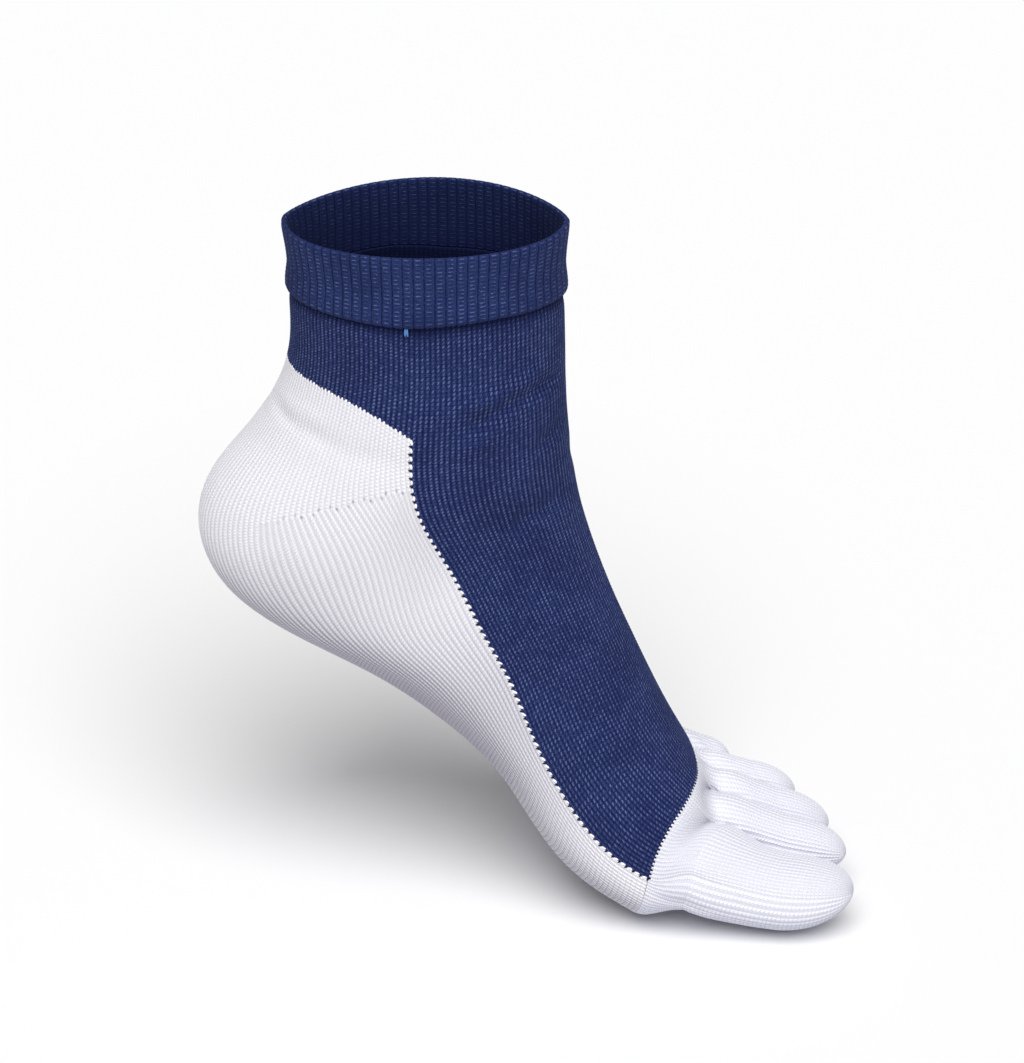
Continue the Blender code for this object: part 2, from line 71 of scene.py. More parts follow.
Socket = bpy.types.NodeSocket
MM = 0.001
KNIT_PLACE = "knit"
LOOP_MIDDLE = (0.5, 0.5, 0.0)


class Yarn(Enum):
    """The yarns, by the record's material slot."""

    NAVY = "navy_knit"
    WHITE = "white_knit"
    TOE_WHITE = "white_toe_knit"
    BLUE = "blue_thread"


class Stitch(Enum):
    """The two knitted structures."""

    JERSEY = "jersey"
    MOCK_RIB = "mock rib"


class Section(NamedTuple):
    """One section of the fan that shapes the sock."""

    back_x: float
    back_z: float
    front_x: float
    front_z: float
    inner: float
    outer: float
    inner_at: float
    outer_at: float
    crest: float
    front_inner: float
    front_outer: float
    back_inner: float
    back_outer: float
    pointed: float
    sweep: float
    seam: float


SECTIONS = (
    Section(-44.9, -1.5, 43.2, 2.0, 31, 31, .50, .50, 0, 2.05, 2.00, 2.05, 2.00, .33, .00, .250),
    Section(-43.2, -13.0, 42.0, -11.0, 31, 31, .50, .50, 0, 2.00, 1.92, 2.00, 1.92, .16, .00, .250),
    Section(-43.0, -26.0, 42.0, -25.0, 31, 31, .50, .50, 0, 1.95, 1.86, 1.95, 1.86, .04, .00, .250),
    Section(-43.0, -41.0, 42.4, -39.0, 32, 32, .50, .50, 0, 1.90, 1.90, 1.90, 1.90, .00, .00, .250),
    Section(-47.2, -57.0, 42.8, -54.0, 34, 33, .52, .52, 0, 2.00, 2.00, 1.90, 1.90, .00, .00, .252),
    Section(-57.3, -74.0, 43.8, -68.0, 35, 34, .55, .52, 0, 2.00, 2.00, 1.90, 1.90, .00, .00, .248),
    Section(-69.3, -91.0, 45.5, -81.5, 35, 35, .55, .48, 0, 2.00, 2.00, 2.05, 2.05, .00, .00, .222),
    Section(-73.0, -108.5, 47.8, -94.0, 34, 36, .52, .44, 0, 2.00, 2.00, 2.15, 2.20, .00, .02, .188),
    Section(-65.5, -126.5, 51.2, -106.0, 33, 36, .50, .40, 0, 2.00, 2.00, 2.10, 2.30, .00, .04, .175),
    Section(-47.0, -139.5, 55.5, -118.0, 33, 36, .48, .36, -1, 2.00, 2.00, 2.00, 2.35, .00, .07, .180),
    Section(-22.0, -151.0, 60.8, -130.5, 33, 37, .48, .34, -3, 2.00, 1.95, 1.95, 2.35, .00, .10, .203),
    Section(1.5, -165.5, 66.6, -143.0, 34, 39, .47, .32, -5, 2.00, 1.90, 1.95, 2.35, .00, .14, .236),
    Section(21.6, -183.8, 72.8, -155.5, 37, 42, .45, .31, -8, 2.00, 1.85, 2.05, 2.35, .00, .18, .259),
    Section(38.5, -208.5, 79.4, -168.0, 41, 45, .43, .30, -9, 2.00, 1.80, 2.30, 2.40, .00, .21, .250),
    Section(60.5, -225.0, 86.0, -180.0, 43, 46, .44, .30, -9, 2.00, 1.80, 2.50, 2.45, .00, .22, .241),
)
LAST = len(SECTIONS) - 1
HEM = ((0.0, 1.74), (0.06, 1.64), (0.14, 1.62), (0.20, 1.68), (0.262, 1.76), (0.34, 1.72), (0.42, 1.73),
       (0.50, 1.79), (0.60, 1.74), (0.68, 1.70), (0.76, 1.77), (0.86, 1.68), (0.94, 1.70))


class Web(NamedTuple):
    """The upper and lower end of the line between two toes, or of a free side."""

    upper: tuple[float, float, float]
    lower: tuple[float, float, float]
    bulge: float


class Toe(NamedTuple):
    """One toe tube, from its root to its tip."""

    name: str
    wales: int
    crown: tuple[float, float, float]
    pad: tuple[float, float, float]
    tip: tuple[float, float, float]
    half_width: float
    half_height: float
    arch: float


WEBS = (
    Web((90.0, -42.5, -203.0), (87.0, -42.5, -214.0), -1.8),
    Web((101.0, -15.2, -202.0), (93.0, -14.8, -216.5), 0.0),
    Web((101.5, 3.8, -204.5), (92.5, 4.0, -216.5), 0.0),
    Web((98.0, 19.8, -205.5), (88.5, 19.6, -215.0), 0.0),
    Web((88.0, 34.0, -206.0), (79.0, 33.6, -213.5), 0.0),
    Web((75.0, 47.5, -204.5), (70.0, 47.0, -211.0), 1.8),
)
TOES = (
    Toe("toe_1_big", 22, (94.5, -29.5, -196.0), (89.0, -29.5, -221.0), (140.5, -29.0, -214.0),
        13.9, 11.5, -3.8),
    Toe("toe_2", 14, (95.5, -6.0, -195.0), (90.0, -5.5, -220.0), (137.0, -5.8, -214.0), 8.7, 8.9, 0.0),
    Toe("toe_3", 13, (94.0, 11.8, -196.5), (88.0, 11.8, -219.5), (130.5, 12.6, -214.5), 7.8, 7.9, 0.8),
    Toe("toe_4", 12, (88.5, 27.0, -198.5), (82.5, 26.8, -217.5), (118.5, 28.2, -212.5), 7.0, 7.4, 0.8),
    Toe("toe_5_little", 11, (79.5, 41.0, -199.0), (74.0, 40.8, -215.0), (96.0, 43.2, -212.0), 7.1, 6.6, 0.6),
)


def unit(vectors: Grid) -> Grid:
    """Scale vectors to length 1.

    Args:
        vectors: Vectors along the last axis.

    Returns:
        The same vectors at length 1.
    """
    return vectors / np.maximum(np.linalg.norm(vectors, axis=-1, keepdims=True), 1e-9)


def surface_normals(points: Grid, closed: bool) -> Grid:
    """Normals of a grid of points, rows by columns.

    Args:
        points: The grid of points.
        closed: Whether the columns run all the way round.

    Returns:
        Normals that point to the left of the rows' direction as the columns go on.
    """
    if closed:
        across = np.roll(points, -1, axis=1) - np.roll(points, 1, axis=1)
    else:
        across = np.gradient(points, axis=1)
    return unit(np.cross(across, np.gradient(points, axis=0)))


def painted_underside_shade(normals: Grid, most: float) -> Grid:
    """Painted shade on the faces that look down, which grows as a face turns further down.

    Args:
        normals: Outward normals.
        most: The value where a face looks straight down.

    Returns:
        Values from 0 to most.
    """
    share = np.clip((0.05 - normals[..., 2]) / 0.7, 0, 1)
    return most * share * share * (3 - 2 * share)


@dataclass(frozen=True)
class SockForm:
    """The sock's outer surface and the lines that divide it, by section number and share of the way round."""

    form_steps: int = 30
    quarter_steps: int = 96
    half_wales: int = 36
    narrow_wales: int = 14
    heel_top_at: float = 3.4
    heel_top_drop: float = 0.8
    heel_top_curve: float = 3.5
    turn: float = 6.1
    turn_drop: float = 1.65
    side_share: float = 0.31
    toe_line_dip: float = 0.45
    toe_line_span: float = 0.34
    rows: Grid = field(init=False)
    table: Grid = field(init=False)

    def __post_init__(self) -> None:
        """Work out the table of outlines."""
        rows = self._spline(np.array(SECTIONS), np.linspace(0, LAST, LAST * self.form_steps + 1))
        object.__setattr__(self, "rows", rows)
        object.__setattr__(self, "table", np.array([self._outline(row) for row in rows]))

    @staticmethod
    def _spline(rows: Grid, places: Grid) -> Grid:
        """Read a natural cubic spline.

        Args:
            rows: Table rows that lie at whole numbers.
            places: Where to read it.

        Returns:
            One row for each place.
        """
        last = len(rows) - 1
        matrix = np.eye(last + 1)
        bend = np.zeros_like(rows)
        for i in range(1, last):
            matrix[i, i - 1:i + 2] = (1, 4, 1)
            bend[i] = 6 * (rows[i + 1] - 2 * rows[i] + rows[i - 1])
        bend = np.linalg.solve(matrix, bend)
        i = np.clip(np.floor(places).astype(int), 0, last - 1)
        u = (places - i)[:, None]
        straight = rows[i] * (1 - u) + rows[i + 1] * u
        return straight + bend[i] * ((1 - u) ** 3 - (1 - u)) / 6 + bend[i + 1] * (u ** 3 - u) / 6

    def _quarter(self, middle: float, end: float, widest: float, width: float, exponent: float,
                 pointed: float = 0.0) -> tuple[Grid, Grid]:
        """Trace a superellipse quarter from the front or back line to a side, evenly by length.

        Args:
            middle: Offset of the front or back line.
            end: Its place along the section.
            widest: Place along the section where the side is widest.
            width: Half-width there.
            exponent: Superellipse exponent.
            pointed: How pointed the end is: 0 is a plain superellipse.

        Returns:
            Places along and across the section.
        """
        angle = np.linspace(0, pi / 2, self.quarter_steps + 1)
        along = widest + (end - widest) * np.cos(angle) ** (2 / exponent)
        across = middle + (width - middle) * np.sin(angle) ** (2 / (exponent * (1 - pointed)))
        length = np.concatenate([[0], np.cumsum(np.hypot(np.diff(along), np.diff(across)))])
        even = np.linspace(0, length[-1], self.quarter_steps + 1)
        return np.interp(even, length, along), np.interp(even, length, across)

    def _outline(self, values: Grid) -> Grid:
        """Closed outline of one section, from the front line round by the inner side.

        Args:
            values: The section's numbers, in the order of Section's fields.

        Returns:
            Points of the outline, the first one again at the end.
        """
        cut = Section(*values)
        back = np.array([cut.back_x, cut.back_z])
        front = np.array([cut.front_x, cut.front_z])
        depth = np.linalg.norm(front - back)
        forward = (front - back) / depth
        onward = np.array([forward[1], -forward[0]])
        quarters = (
            self._quarter(cut.crest, depth, depth * cut.inner_at, -cut.inner, cut.front_inner),
            self._quarter(0, 0, depth * cut.inner_at, -cut.inner, cut.back_inner),
            self._quarter(0, 0, depth * cut.outer_at, cut.outer, cut.back_outer, cut.pointed),
            self._quarter(cut.crest, depth, depth * cut.outer_at, cut.outer, cut.front_outer, cut.pointed),
        )
        outline = []
        for k, (along, across) in enumerate(quarters):
            if k % 2:
                along, across = along[::-1], across[::-1]
            flat = back + np.outer(along, forward) - np.outer(cut.sweep * across, onward)
            points = np.stack([flat[:, 0], across, flat[:, 1]], axis=1)
            outline.append(points if k == 3 else points[:-1])
        return np.concatenate(outline)

    def at(self, place: Grid, share: Grid) -> Grid:
        """Points of the surface.

        Args:
            place: Section numbers.
            share: Shares of the way round: 0 front, 0.25 inner side, 0.5 back, 0.75 outer side.

        Returns:
            Points, in millimetres.
        """
        place, share = np.broadcast_arrays(place, share)
        row = np.clip(place * self.form_steps, 0, len(self.table) - 1.0001)
        column = (share % 1.0) * 4 * self.quarter_steps
        i, j = row.astype(int), np.minimum(column.astype(int), 4 * self.quarter_steps - 1)
        u, v = (row - i)[..., None], (column - j)[..., None]
        upper = self.table[i, j] * (1 - v) + self.table[i, j + 1] * v
        lower = self.table[i + 1, j] * (1 - v) + self.table[i + 1, j + 1] * v
        return upper * (1 - u) + lower * u

    def onward(self, place: Grid, share: Grid) -> tuple[Grid, Grid]:
        """Directions of the surface.

        Args:
            place: Section numbers.
            share: Shares of the way round.

        Returns:
            The direction down the leg and along the foot, and the normal that points out of the sock.
        """
        step_place, step_share = 0.12, 0.006
        place = np.clip(place, step_place, LAST - step_place)
        down = self.at(place + step_place, share) - self.at(place - step_place, share)
        round_it = self.at(place, share + step_share) - self.at(place, share - step_share)
        return unit(down), unit(np.cross(round_it, down))

    def seam(self, place: Grid) -> Grid:
        """Share of the way round at which the side seam lies."""
        return np.interp(place, np.linspace(0, LAST, len(self.rows)), self.rows[:, -1])

    def hem(self, share: Grid) -> Grid:
        """Section number of the cuff's lower edge, which sags at the sides between its uneven rises."""
        around, places = zip(*HEM)
        return np.interp(share, around, places, period=1.0)

    def toe_line(self, share: Grid) -> Grid:
        """Section number of the edge where the toe base begins."""
        side = np.minimum(np.abs((share + 0.5) % 1.0 - 0.5) / self.toe_line_span, 1)
        return LAST - self.toe_line_dip * np.sin(pi * side) ** 2

    def heel_top(self, wale: Grid) -> Grid:
        """Section number of the heel's upper edge; wale is 0 on the back line and 1 at the seam."""
        return self.heel_top_at + self.heel_top_drop * np.abs(wale) ** self.heel_top_curve

    def gore_course(self, wale: Grid) -> Grid:
        """Share of the upper heel's courses that are knitted when a wale meets the gore line."""
        share = np.clip((1 - np.abs(wale)) / (1 - self.narrow_wales / self.half_wales), 0, 1)
        return self.side_share + (1 - self.side_share) * share

    def upper_heel(self, course: Grid, wale: Grid) -> Grid:
        """Section number on a course of the upper heel: 0 is its upper edge, 1 the turn of the heel."""
        return self.heel_top(wale) * (1 - course) + (self.turn + self.turn_drop * wale ** 2) * course

    def gore(self, wale: Grid) -> Grid:
        """Section number at which a wale crosses the gore line."""
        return self.upper_heel(self.gore_course(wale), wale)

    def back_share(self, place: Grid, wale: Grid) -> Grid:
        """Share of the way round of a back wale, which is 1 at the inner seam and -1 at the outer one."""
        return 0.5 - wale * (0.5 - self.seam(place))


@dataclass(frozen=True)
class Crease:
    """A soft trough or ridge, placed one by one."""

    at: tuple[float, float, float]
    along: tuple[float, float, float]
    length: float
    width: float
    depth: float

    def shift(self, points: Grid) -> Grid:
        """How far each point moves out.

        Args:
            points: Points in millimetres.

        Returns:
            Distances along the normals: below 0 for a trough.
        """
        away = points - np.array(self.at)
        direction = unit(np.array(self.along))
        lengthways = away @ direction
        across = np.linalg.norm(away - lengthways[..., None] * direction, axis=-1)
        return self.depth * np.exp(-(lengthways / self.length) ** 2 - (across / self.width) ** 2)


CREASES = (
    Crease((37, -15, -47.5), (0.55, 0.83, 0.12), 11, 2.4, -1.7),
    Crease((24, -27.5, -52), (0.85, 0.5, 0.33), 10, 2.7, -1.3),
    Crease((31, -21.5, -43.5), (0.75, 0.6, 0.3), 9, 2.5, 1.0),
    Crease((18, -30, -48), (0.9, 0.35, 0.25), 9, 2.7, 0.9),
    Crease((19, -31, -60.5), (0.9, 0.4, 0.3), 9, 2.8, 1.0),
    Crease((40, -12, -64), (0.35, 0.9, 0.2), 9, 3.0, -1.1),
    Crease((36, -20.5, -89), (0.7, 0.65, 0.23), 14, 3.6, -1.2),
    Crease((38, 16, -52), (-0.5, 0.8, -0.2), 10, 3.0, -1.0),
    Crease((33, 22, -62), (-0.8, 0.6, -0.3), 11, 3.4, 0.6),
    Crease((45, 10, -78), (-0.2, 1, -0.1), 13, 4.0, -0.7),
    Crease((-44, -14, -61.5), (0.56, -0.82, -0.1), 8, 2.4, -1.0),
    Crease((-32, -26, -63.2), (0.84, -0.54, -0.12), 8, 3.0, -0.7),
    Crease((-38, -21, -57), (0.72, -0.68, -0.03), 12, 3.0, 0.5),
    Crease((-14, -33, -66.5), (1, -0.15, -0.1), 14, 4.5, -0.6),
    Crease((-46, 14, -61), (0.5, 0.85, 0.05), 11, 2.8, -0.9),
    Crease((-47, 17, -69), (0.5, 0.85, -0.1), 12, 3.4, 0.5),
    Crease((4, 34, -84), (1, 0, -0.5), 20, 5.0, -0.6),
    Crease((28, -31, -110), (0.8, 0, -1), 20, 5.0, 0.4),
    Crease((94, -14, -196), (0.6, 0.1, -0.7), 10, 6.0, -0.8),
    Crease((94, 4, -197), (0.6, 0, -0.7), 9, 5.0, -0.6),
    Crease((90, 20, -199), (0.6, 0, -0.7), 8, 4.5, -0.5),
)


@dataclass
class KnitWall:
    """A knitted wall: rows of points are courses and columns are wales, in millimetres."""

    name: str
    points: Grid
    normals: Grid
    wale: Grid
    course: Grid
    stitch: Stitch = Stitch.JERSEY
    closed: bool = False
    capped: bool = False
    torus: bool = False
    outwards: bool = True
    relief: float | Grid = 0.34
    ridge: float = 0.7
    fade: tuple[int, int] = (0, 0)
    thickness: float = 1.4
    shade: Grid | None = None
    inside_shade: float = 0.9
    column_step: int = 4
    row_step: int = 2
    full_pitch: float = 1.5

    def pitch(self) -> Grid:
        """Distance between wales at each point, in millimetres."""
        ahead = np.roll(self.points, -1, axis=1) if self.closed else self.points[:, 1:]
        near = self.points if self.closed else self.points[:, :-1]
        step = np.linalg.norm(ahead - near, axis=-1)
        number = np.abs(np.diff(self.wale, axis=1))
        wide = step / np.maximum(number, 1e-6)
        return wide if self.closed else np.concatenate([wide, wide[:, -1:]], axis=1)

    def heights(self) -> Grid:
        """Height of the stitches above the plain surface, in millimetres."""
        columns = self.points.shape[1]
        wale, course = self.wale[:, :columns], self.course
        row = 0.72 + 0.28 * np.sin(pi * course) ** 2
        if self.stitch is Stitch.JERSEY:
            ridge = np.abs(np.sin(pi * wale)) ** self.ridge
        else:
            u = (wale / 2) % 1.0
            ridge = np.abs(np.sin(pi * u)) ** 0.35 - 0.42 * np.exp(-((u - 0.5) / 0.06) ** 2)
        return self.relief * ridge * row * np.clip(self.pitch() / self.full_pitch, 0, 1)

    def build(self, yarn: Yarn, creases: tuple[Crease, ...] = CREASES) -> bpy.types.Object:
        """Make the closed wall as an object.

        Args:
            yarn: The yarn that it is knitted from.
            creases: Soft folds of the cloth.

        Returns:
            The wall's object, at the origin.
        """
        folds = sum((crease.shift(self.points) for crease in creases), np.zeros(self.points.shape[:2]))
        rows, columns = self.points.shape[:2]
        fade = self._fade(rows)[:, None]
        folds = folds * fade
        outer = self.points + self.normals * (folds + self.heights() * fade)[..., None]
        shade = np.zeros((rows, columns)) if self.shade is None else self.shade
        if self.closed:
            shade = np.concatenate([shade, shade[:, :1]], axis=1)
        course = full_course(self.course) if self.closed else self.course
        places = np.stack([self.wale, course, shade], axis=-1)
        if not self.torus:
            places = np.concatenate([places, places * (1, 1, 0) + (0, 0, self.inside_shade)])
        vertices = [outer.reshape(-1, 3)]
        parts = [self._quads(rows, columns, 0, 1, 1, rows * columns, False)]
        if not self.torus:
            inner_rows = np.arange(0, rows, self.row_step)
            inner_columns = np.arange(0, columns, self.column_step)
            creased = self.points + self.normals * folds[..., None]
            inner = (creased - self.normals * self.thickness)[np.ix_(inner_rows, inner_columns)]
            vertices.append(inner.reshape(-1, 3))
            count = inner.shape[0] * inner.shape[1]
            number, row, column = self._quads(len(inner_rows), len(inner_columns), rows * columns,
                                              self.row_step, self.column_step, count, True)
            parts.append((number, row + rows, column))
            parts += self._rims(rows, columns, len(inner_rows), len(inner_columns))
        mesh = self._mesh(np.concatenate(vertices), parts, places)
        return new_object(self.name, mesh, yarn, self.stitch)

    def _fade(self, rows: int) -> Grid:
        """Share of the relief that each row keeps, which is none where the wall meets its neighbour."""
        number = np.arange(rows)
        keep = np.ones(rows)
        for away, length in ((number, self.fade[0]), (rows - 1 - number, self.fade[1])):
            if length:
                keep *= np.clip(away / length, 0, 1)
        return keep

    def _quads(self, rows: int, columns: int, base: int, row_step: int, column_step: int,
               count: int, reverse: bool) -> tuple[Grid, Grid, Grid]:
        """Faces over a grid.

        Args:
            rows: Rows of the grid.
            columns: Columns of the grid.
            base: Number of its first vertex.
            row_step: Fine rows between its rows.
            column_step: Fine columns between its columns.
            count: Its number of vertices.
            reverse: Whether its faces look inwards.

        Returns:
            Vertex numbers of the faces, and the fine rows and columns of their corners.
        """
        i = np.arange(rows if self.torus else rows - 1)
        j = np.arange(columns if self.closed else columns - 1)
        i, j = (each.ravel() for each in np.meshgrid(i, j, indexing="ij"))
        row = np.stack([i, i, i + 1, i + 1], axis=1)
        column = np.stack([j, j + 1, j + 1, j], axis=1)
        if reverse != (not self.outwards):
            row, column = row[:, ::-1], column[:, ::-1]
        number = base + (row * columns + column % columns) % count if self.torus else \
            base + row * columns + column % columns
        return number, row * row_step, column * column_step

    def _rims(self, rows: int, columns: int, inner_rows: int,
              inner_columns: int) -> list[Faces]:
        """Faces that join the outer grid to the coarser inner one along the borders.

        Args:
            rows: Rows of the outer grid.
            columns: Columns of the outer grid.
            inner_rows: Rows of the inner grid.
            inner_columns: Columns of the inner grid.

        Returns:
            For each border, the vertex numbers, fine rows and fine columns of its faces' corners.
        """
        base = rows * columns
        step = self.column_step
        cells = np.arange(inner_columns if self.closed else inner_columns - 1)[:, None]
        rims = []
        ends = ((0, 0),) if self.capped else ((0, 0), (rows - 1, inner_rows - 1))
        for row, inner_row in ends:
            fine = cells * step + np.arange(step, -1, -1)[None, :]
            coarse = np.concatenate([cells, cells + 1], axis=1)
            number = np.concatenate([row * columns + fine % columns,
                                     base + inner_row * inner_columns + coarse % inner_columns], axis=1)
            column = np.concatenate([fine, coarse * step], axis=1)
            if (row > 0) == self.outwards:
                number, column = number[:, ::-1], column[:, ::-1]
            rims.append((number, np.full_like(number, row), column))
        if self.closed:
            return rims
        cells = np.arange(inner_rows - 1)[:, None]
        for column, inner_column in ((0, 0), (columns - 1, inner_columns - 1)):
            fine = cells * self.row_step + np.arange(self.row_step + 1)[None, :]
            coarse = np.concatenate([cells + 1, cells], axis=1)
            number = np.concatenate([fine * columns + column,
                                     base + coarse * inner_columns + inner_column], axis=1)
            row = np.concatenate([fine, coarse * self.row_step], axis=1)
            if (column > 0) == self.outwards:
                number, row = number[:, ::-1], row[:, ::-1]
            rims.append((number, row, np.full_like(number, column)))
        return rims

    def _mesh(self, vertices: Grid, parts: list[Faces], places: Grid) -> bpy.types.Mesh:
        """Fill a mesh.

        Args:
            vertices: All points, in millimetres.
            parts: Faces, each part with one number of corners.
            places: Wale, course and shade of each fine row and column.

        Returns:
            The mesh, in metres, with the corners' places in its attribute.
        """
        corner = [places[row.ravel() % len(places), column.ravel()] for _, row, column in parts]
        faces = [number for number, _, _ in parts]
        if self.capped:
            for cap in self._caps(len(places) // 2, places.shape[1] - 1):
                faces.append(cap)
                corner.append(np.tile(LOOP_MIDDLE, (cap.size, 1)))
        corner = np.concatenate(corner)
        loops = np.concatenate([number.ravel() for number in faces])
        sizes = np.concatenate([np.full(len(number), number.shape[1]) for number in faces])
        mesh = bpy.data.meshes.new(self.name)
        mesh.vertices.add(len(vertices))
        mesh.vertices.foreach_set("co", (vertices * MM).astype(np.float32).ravel())
        mesh.loops.add(len(loops))
        mesh.loops.foreach_set("vertex_index", loops.astype(np.int32))
        mesh.polygons.add(len(sizes))
        mesh.polygons.foreach_set("loop_start", (np.cumsum(sizes) - sizes).astype(np.int32))
        mesh.update(calc_edges=True)
        layer = mesh.attributes.new(KNIT_PLACE, "FLOAT_VECTOR", "CORNER")
        layer.data.foreach_set("vector", corner.astype(np.float32).ravel())
        mesh.validate()
        mesh.shade_smooth()
        mesh.set_sharp_from_angle(angle=radians(78))
        return mesh

    def _caps(self, rows: int, columns: int) -> list[Grid]:
        """Faces that close a tube's last rings.

        Args:
            rows: Rows of the outer grid.
            columns: Columns of the outer grid.

        Returns:
            The vertex numbers of the outer cap and of the inner cap.
        """
        inner_columns = columns // self.column_step
        outer = np.arange(columns)
        inner = rows * columns + (rows - 1) // self.row_step * inner_columns + np.arange(inner_columns)
        if self.outwards:
            inner = inner[::-1]
        else:
            outer = outer[::-1]
        return [outer[None, :] + (rows - 1) * columns, inner[None, :]]


def finish_name(yarn: Yarn, stitch: Stitch) -> str:
    """Name of the material for a yarn in a stitch."""
    return yarn.value + ("_rib_finish" if stitch is Stitch.MOCK_RIB else "_finish")


def new_object(name: str, mesh: bpy.types.Mesh, yarn: Yarn,
               stitch: Stitch = Stitch.JERSEY) -> bpy.types.Object:
    """Put a mesh in the scene.

    Args:
        name: Name of the object.
        mesh: Its mesh, with its place in its points.
        yarn: The yarn it is made of.
        stitch: The stitch it is knitted in.

    Returns:
        The object, at the origin.
    """
    mesh.materials.clear()
    mesh.materials.append(bpy.data.materials[finish_name(yarn, stitch)])
    piece = bpy.data.objects.new(name, mesh)
    bpy.context.scene.collection.objects.link(piece)
    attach(piece, "root")
    return piece


class Nodes:
    """Short calls that add nodes to a material's tree."""

    def __init__(self, tree: bpy.types.NodeTree) -> None:
        """Keep the tree."""
        self.tree = tree

    def add(self, kind: str, **settings: object) -> bpy.types.Node:
        """Add a node.

        Args:
            kind: The node's type.
            **settings: Properties to set on it.

        Returns:
            The node.
        """
        node = self.tree.nodes.new(kind)
        for key, value in settings.items():
            setattr(node, key, value)
        return node

    def wire(self, value: object, socket: Socket) -> None:
        """Link an output to a socket, or set the socket to a number or colour."""
        if isinstance(value, Socket):
            self.tree.links.new(value, socket)
        else:
            socket.default_value = value

    def math(self, operation: str, first: object, second: object = 0.0, clamp: bool = False) -> Socket:
        """Add a Math node.

        Args:
            operation: Its operation.
            first: First input.
            second: Second input.
            clamp: Whether the result is kept between 0 and 1.

        Returns:
            Its output.
        """
        node = self.add("ShaderNodeMath", operation=operation, use_clamp=clamp)
        self.wire(first, node.inputs[0])
        self.wire(second, node.inputs[1])
        return node.outputs[0]

    def ramp(self, value: object, low: float, high: float, start: float = 0.0,
             end: float = 1.0) -> Socket:
        """Map a range smoothly.

        Args:
            value: Input.
            low: Input at which the result is start.
            high: Input at which the result is end.
            start: Result at low.
            end: Result at high.

        Returns:
            The result.
        """
        node = self.add("ShaderNodeMapRange", interpolation_type="SMOOTHSTEP")
        for socket, each in zip(node.inputs, (value, low, high, start, end)):
            self.wire(each, socket)
        return node.outputs[0]

    def mix(self, share: object, first: object, second: object) -> Socket:
        """Mix two colours.

        Args:
            share: Share of the second.
            first: First colour.
            second: Second colour.

        Returns:
            The mixed colour.
        """
        node = self.add("ShaderNodeMix", data_type="RGBA")
        self.wire(share, node.inputs[0])
        self.wire(first, node.inputs[6])
        self.wire(second, node.inputs[7])
        return node.outputs[2]


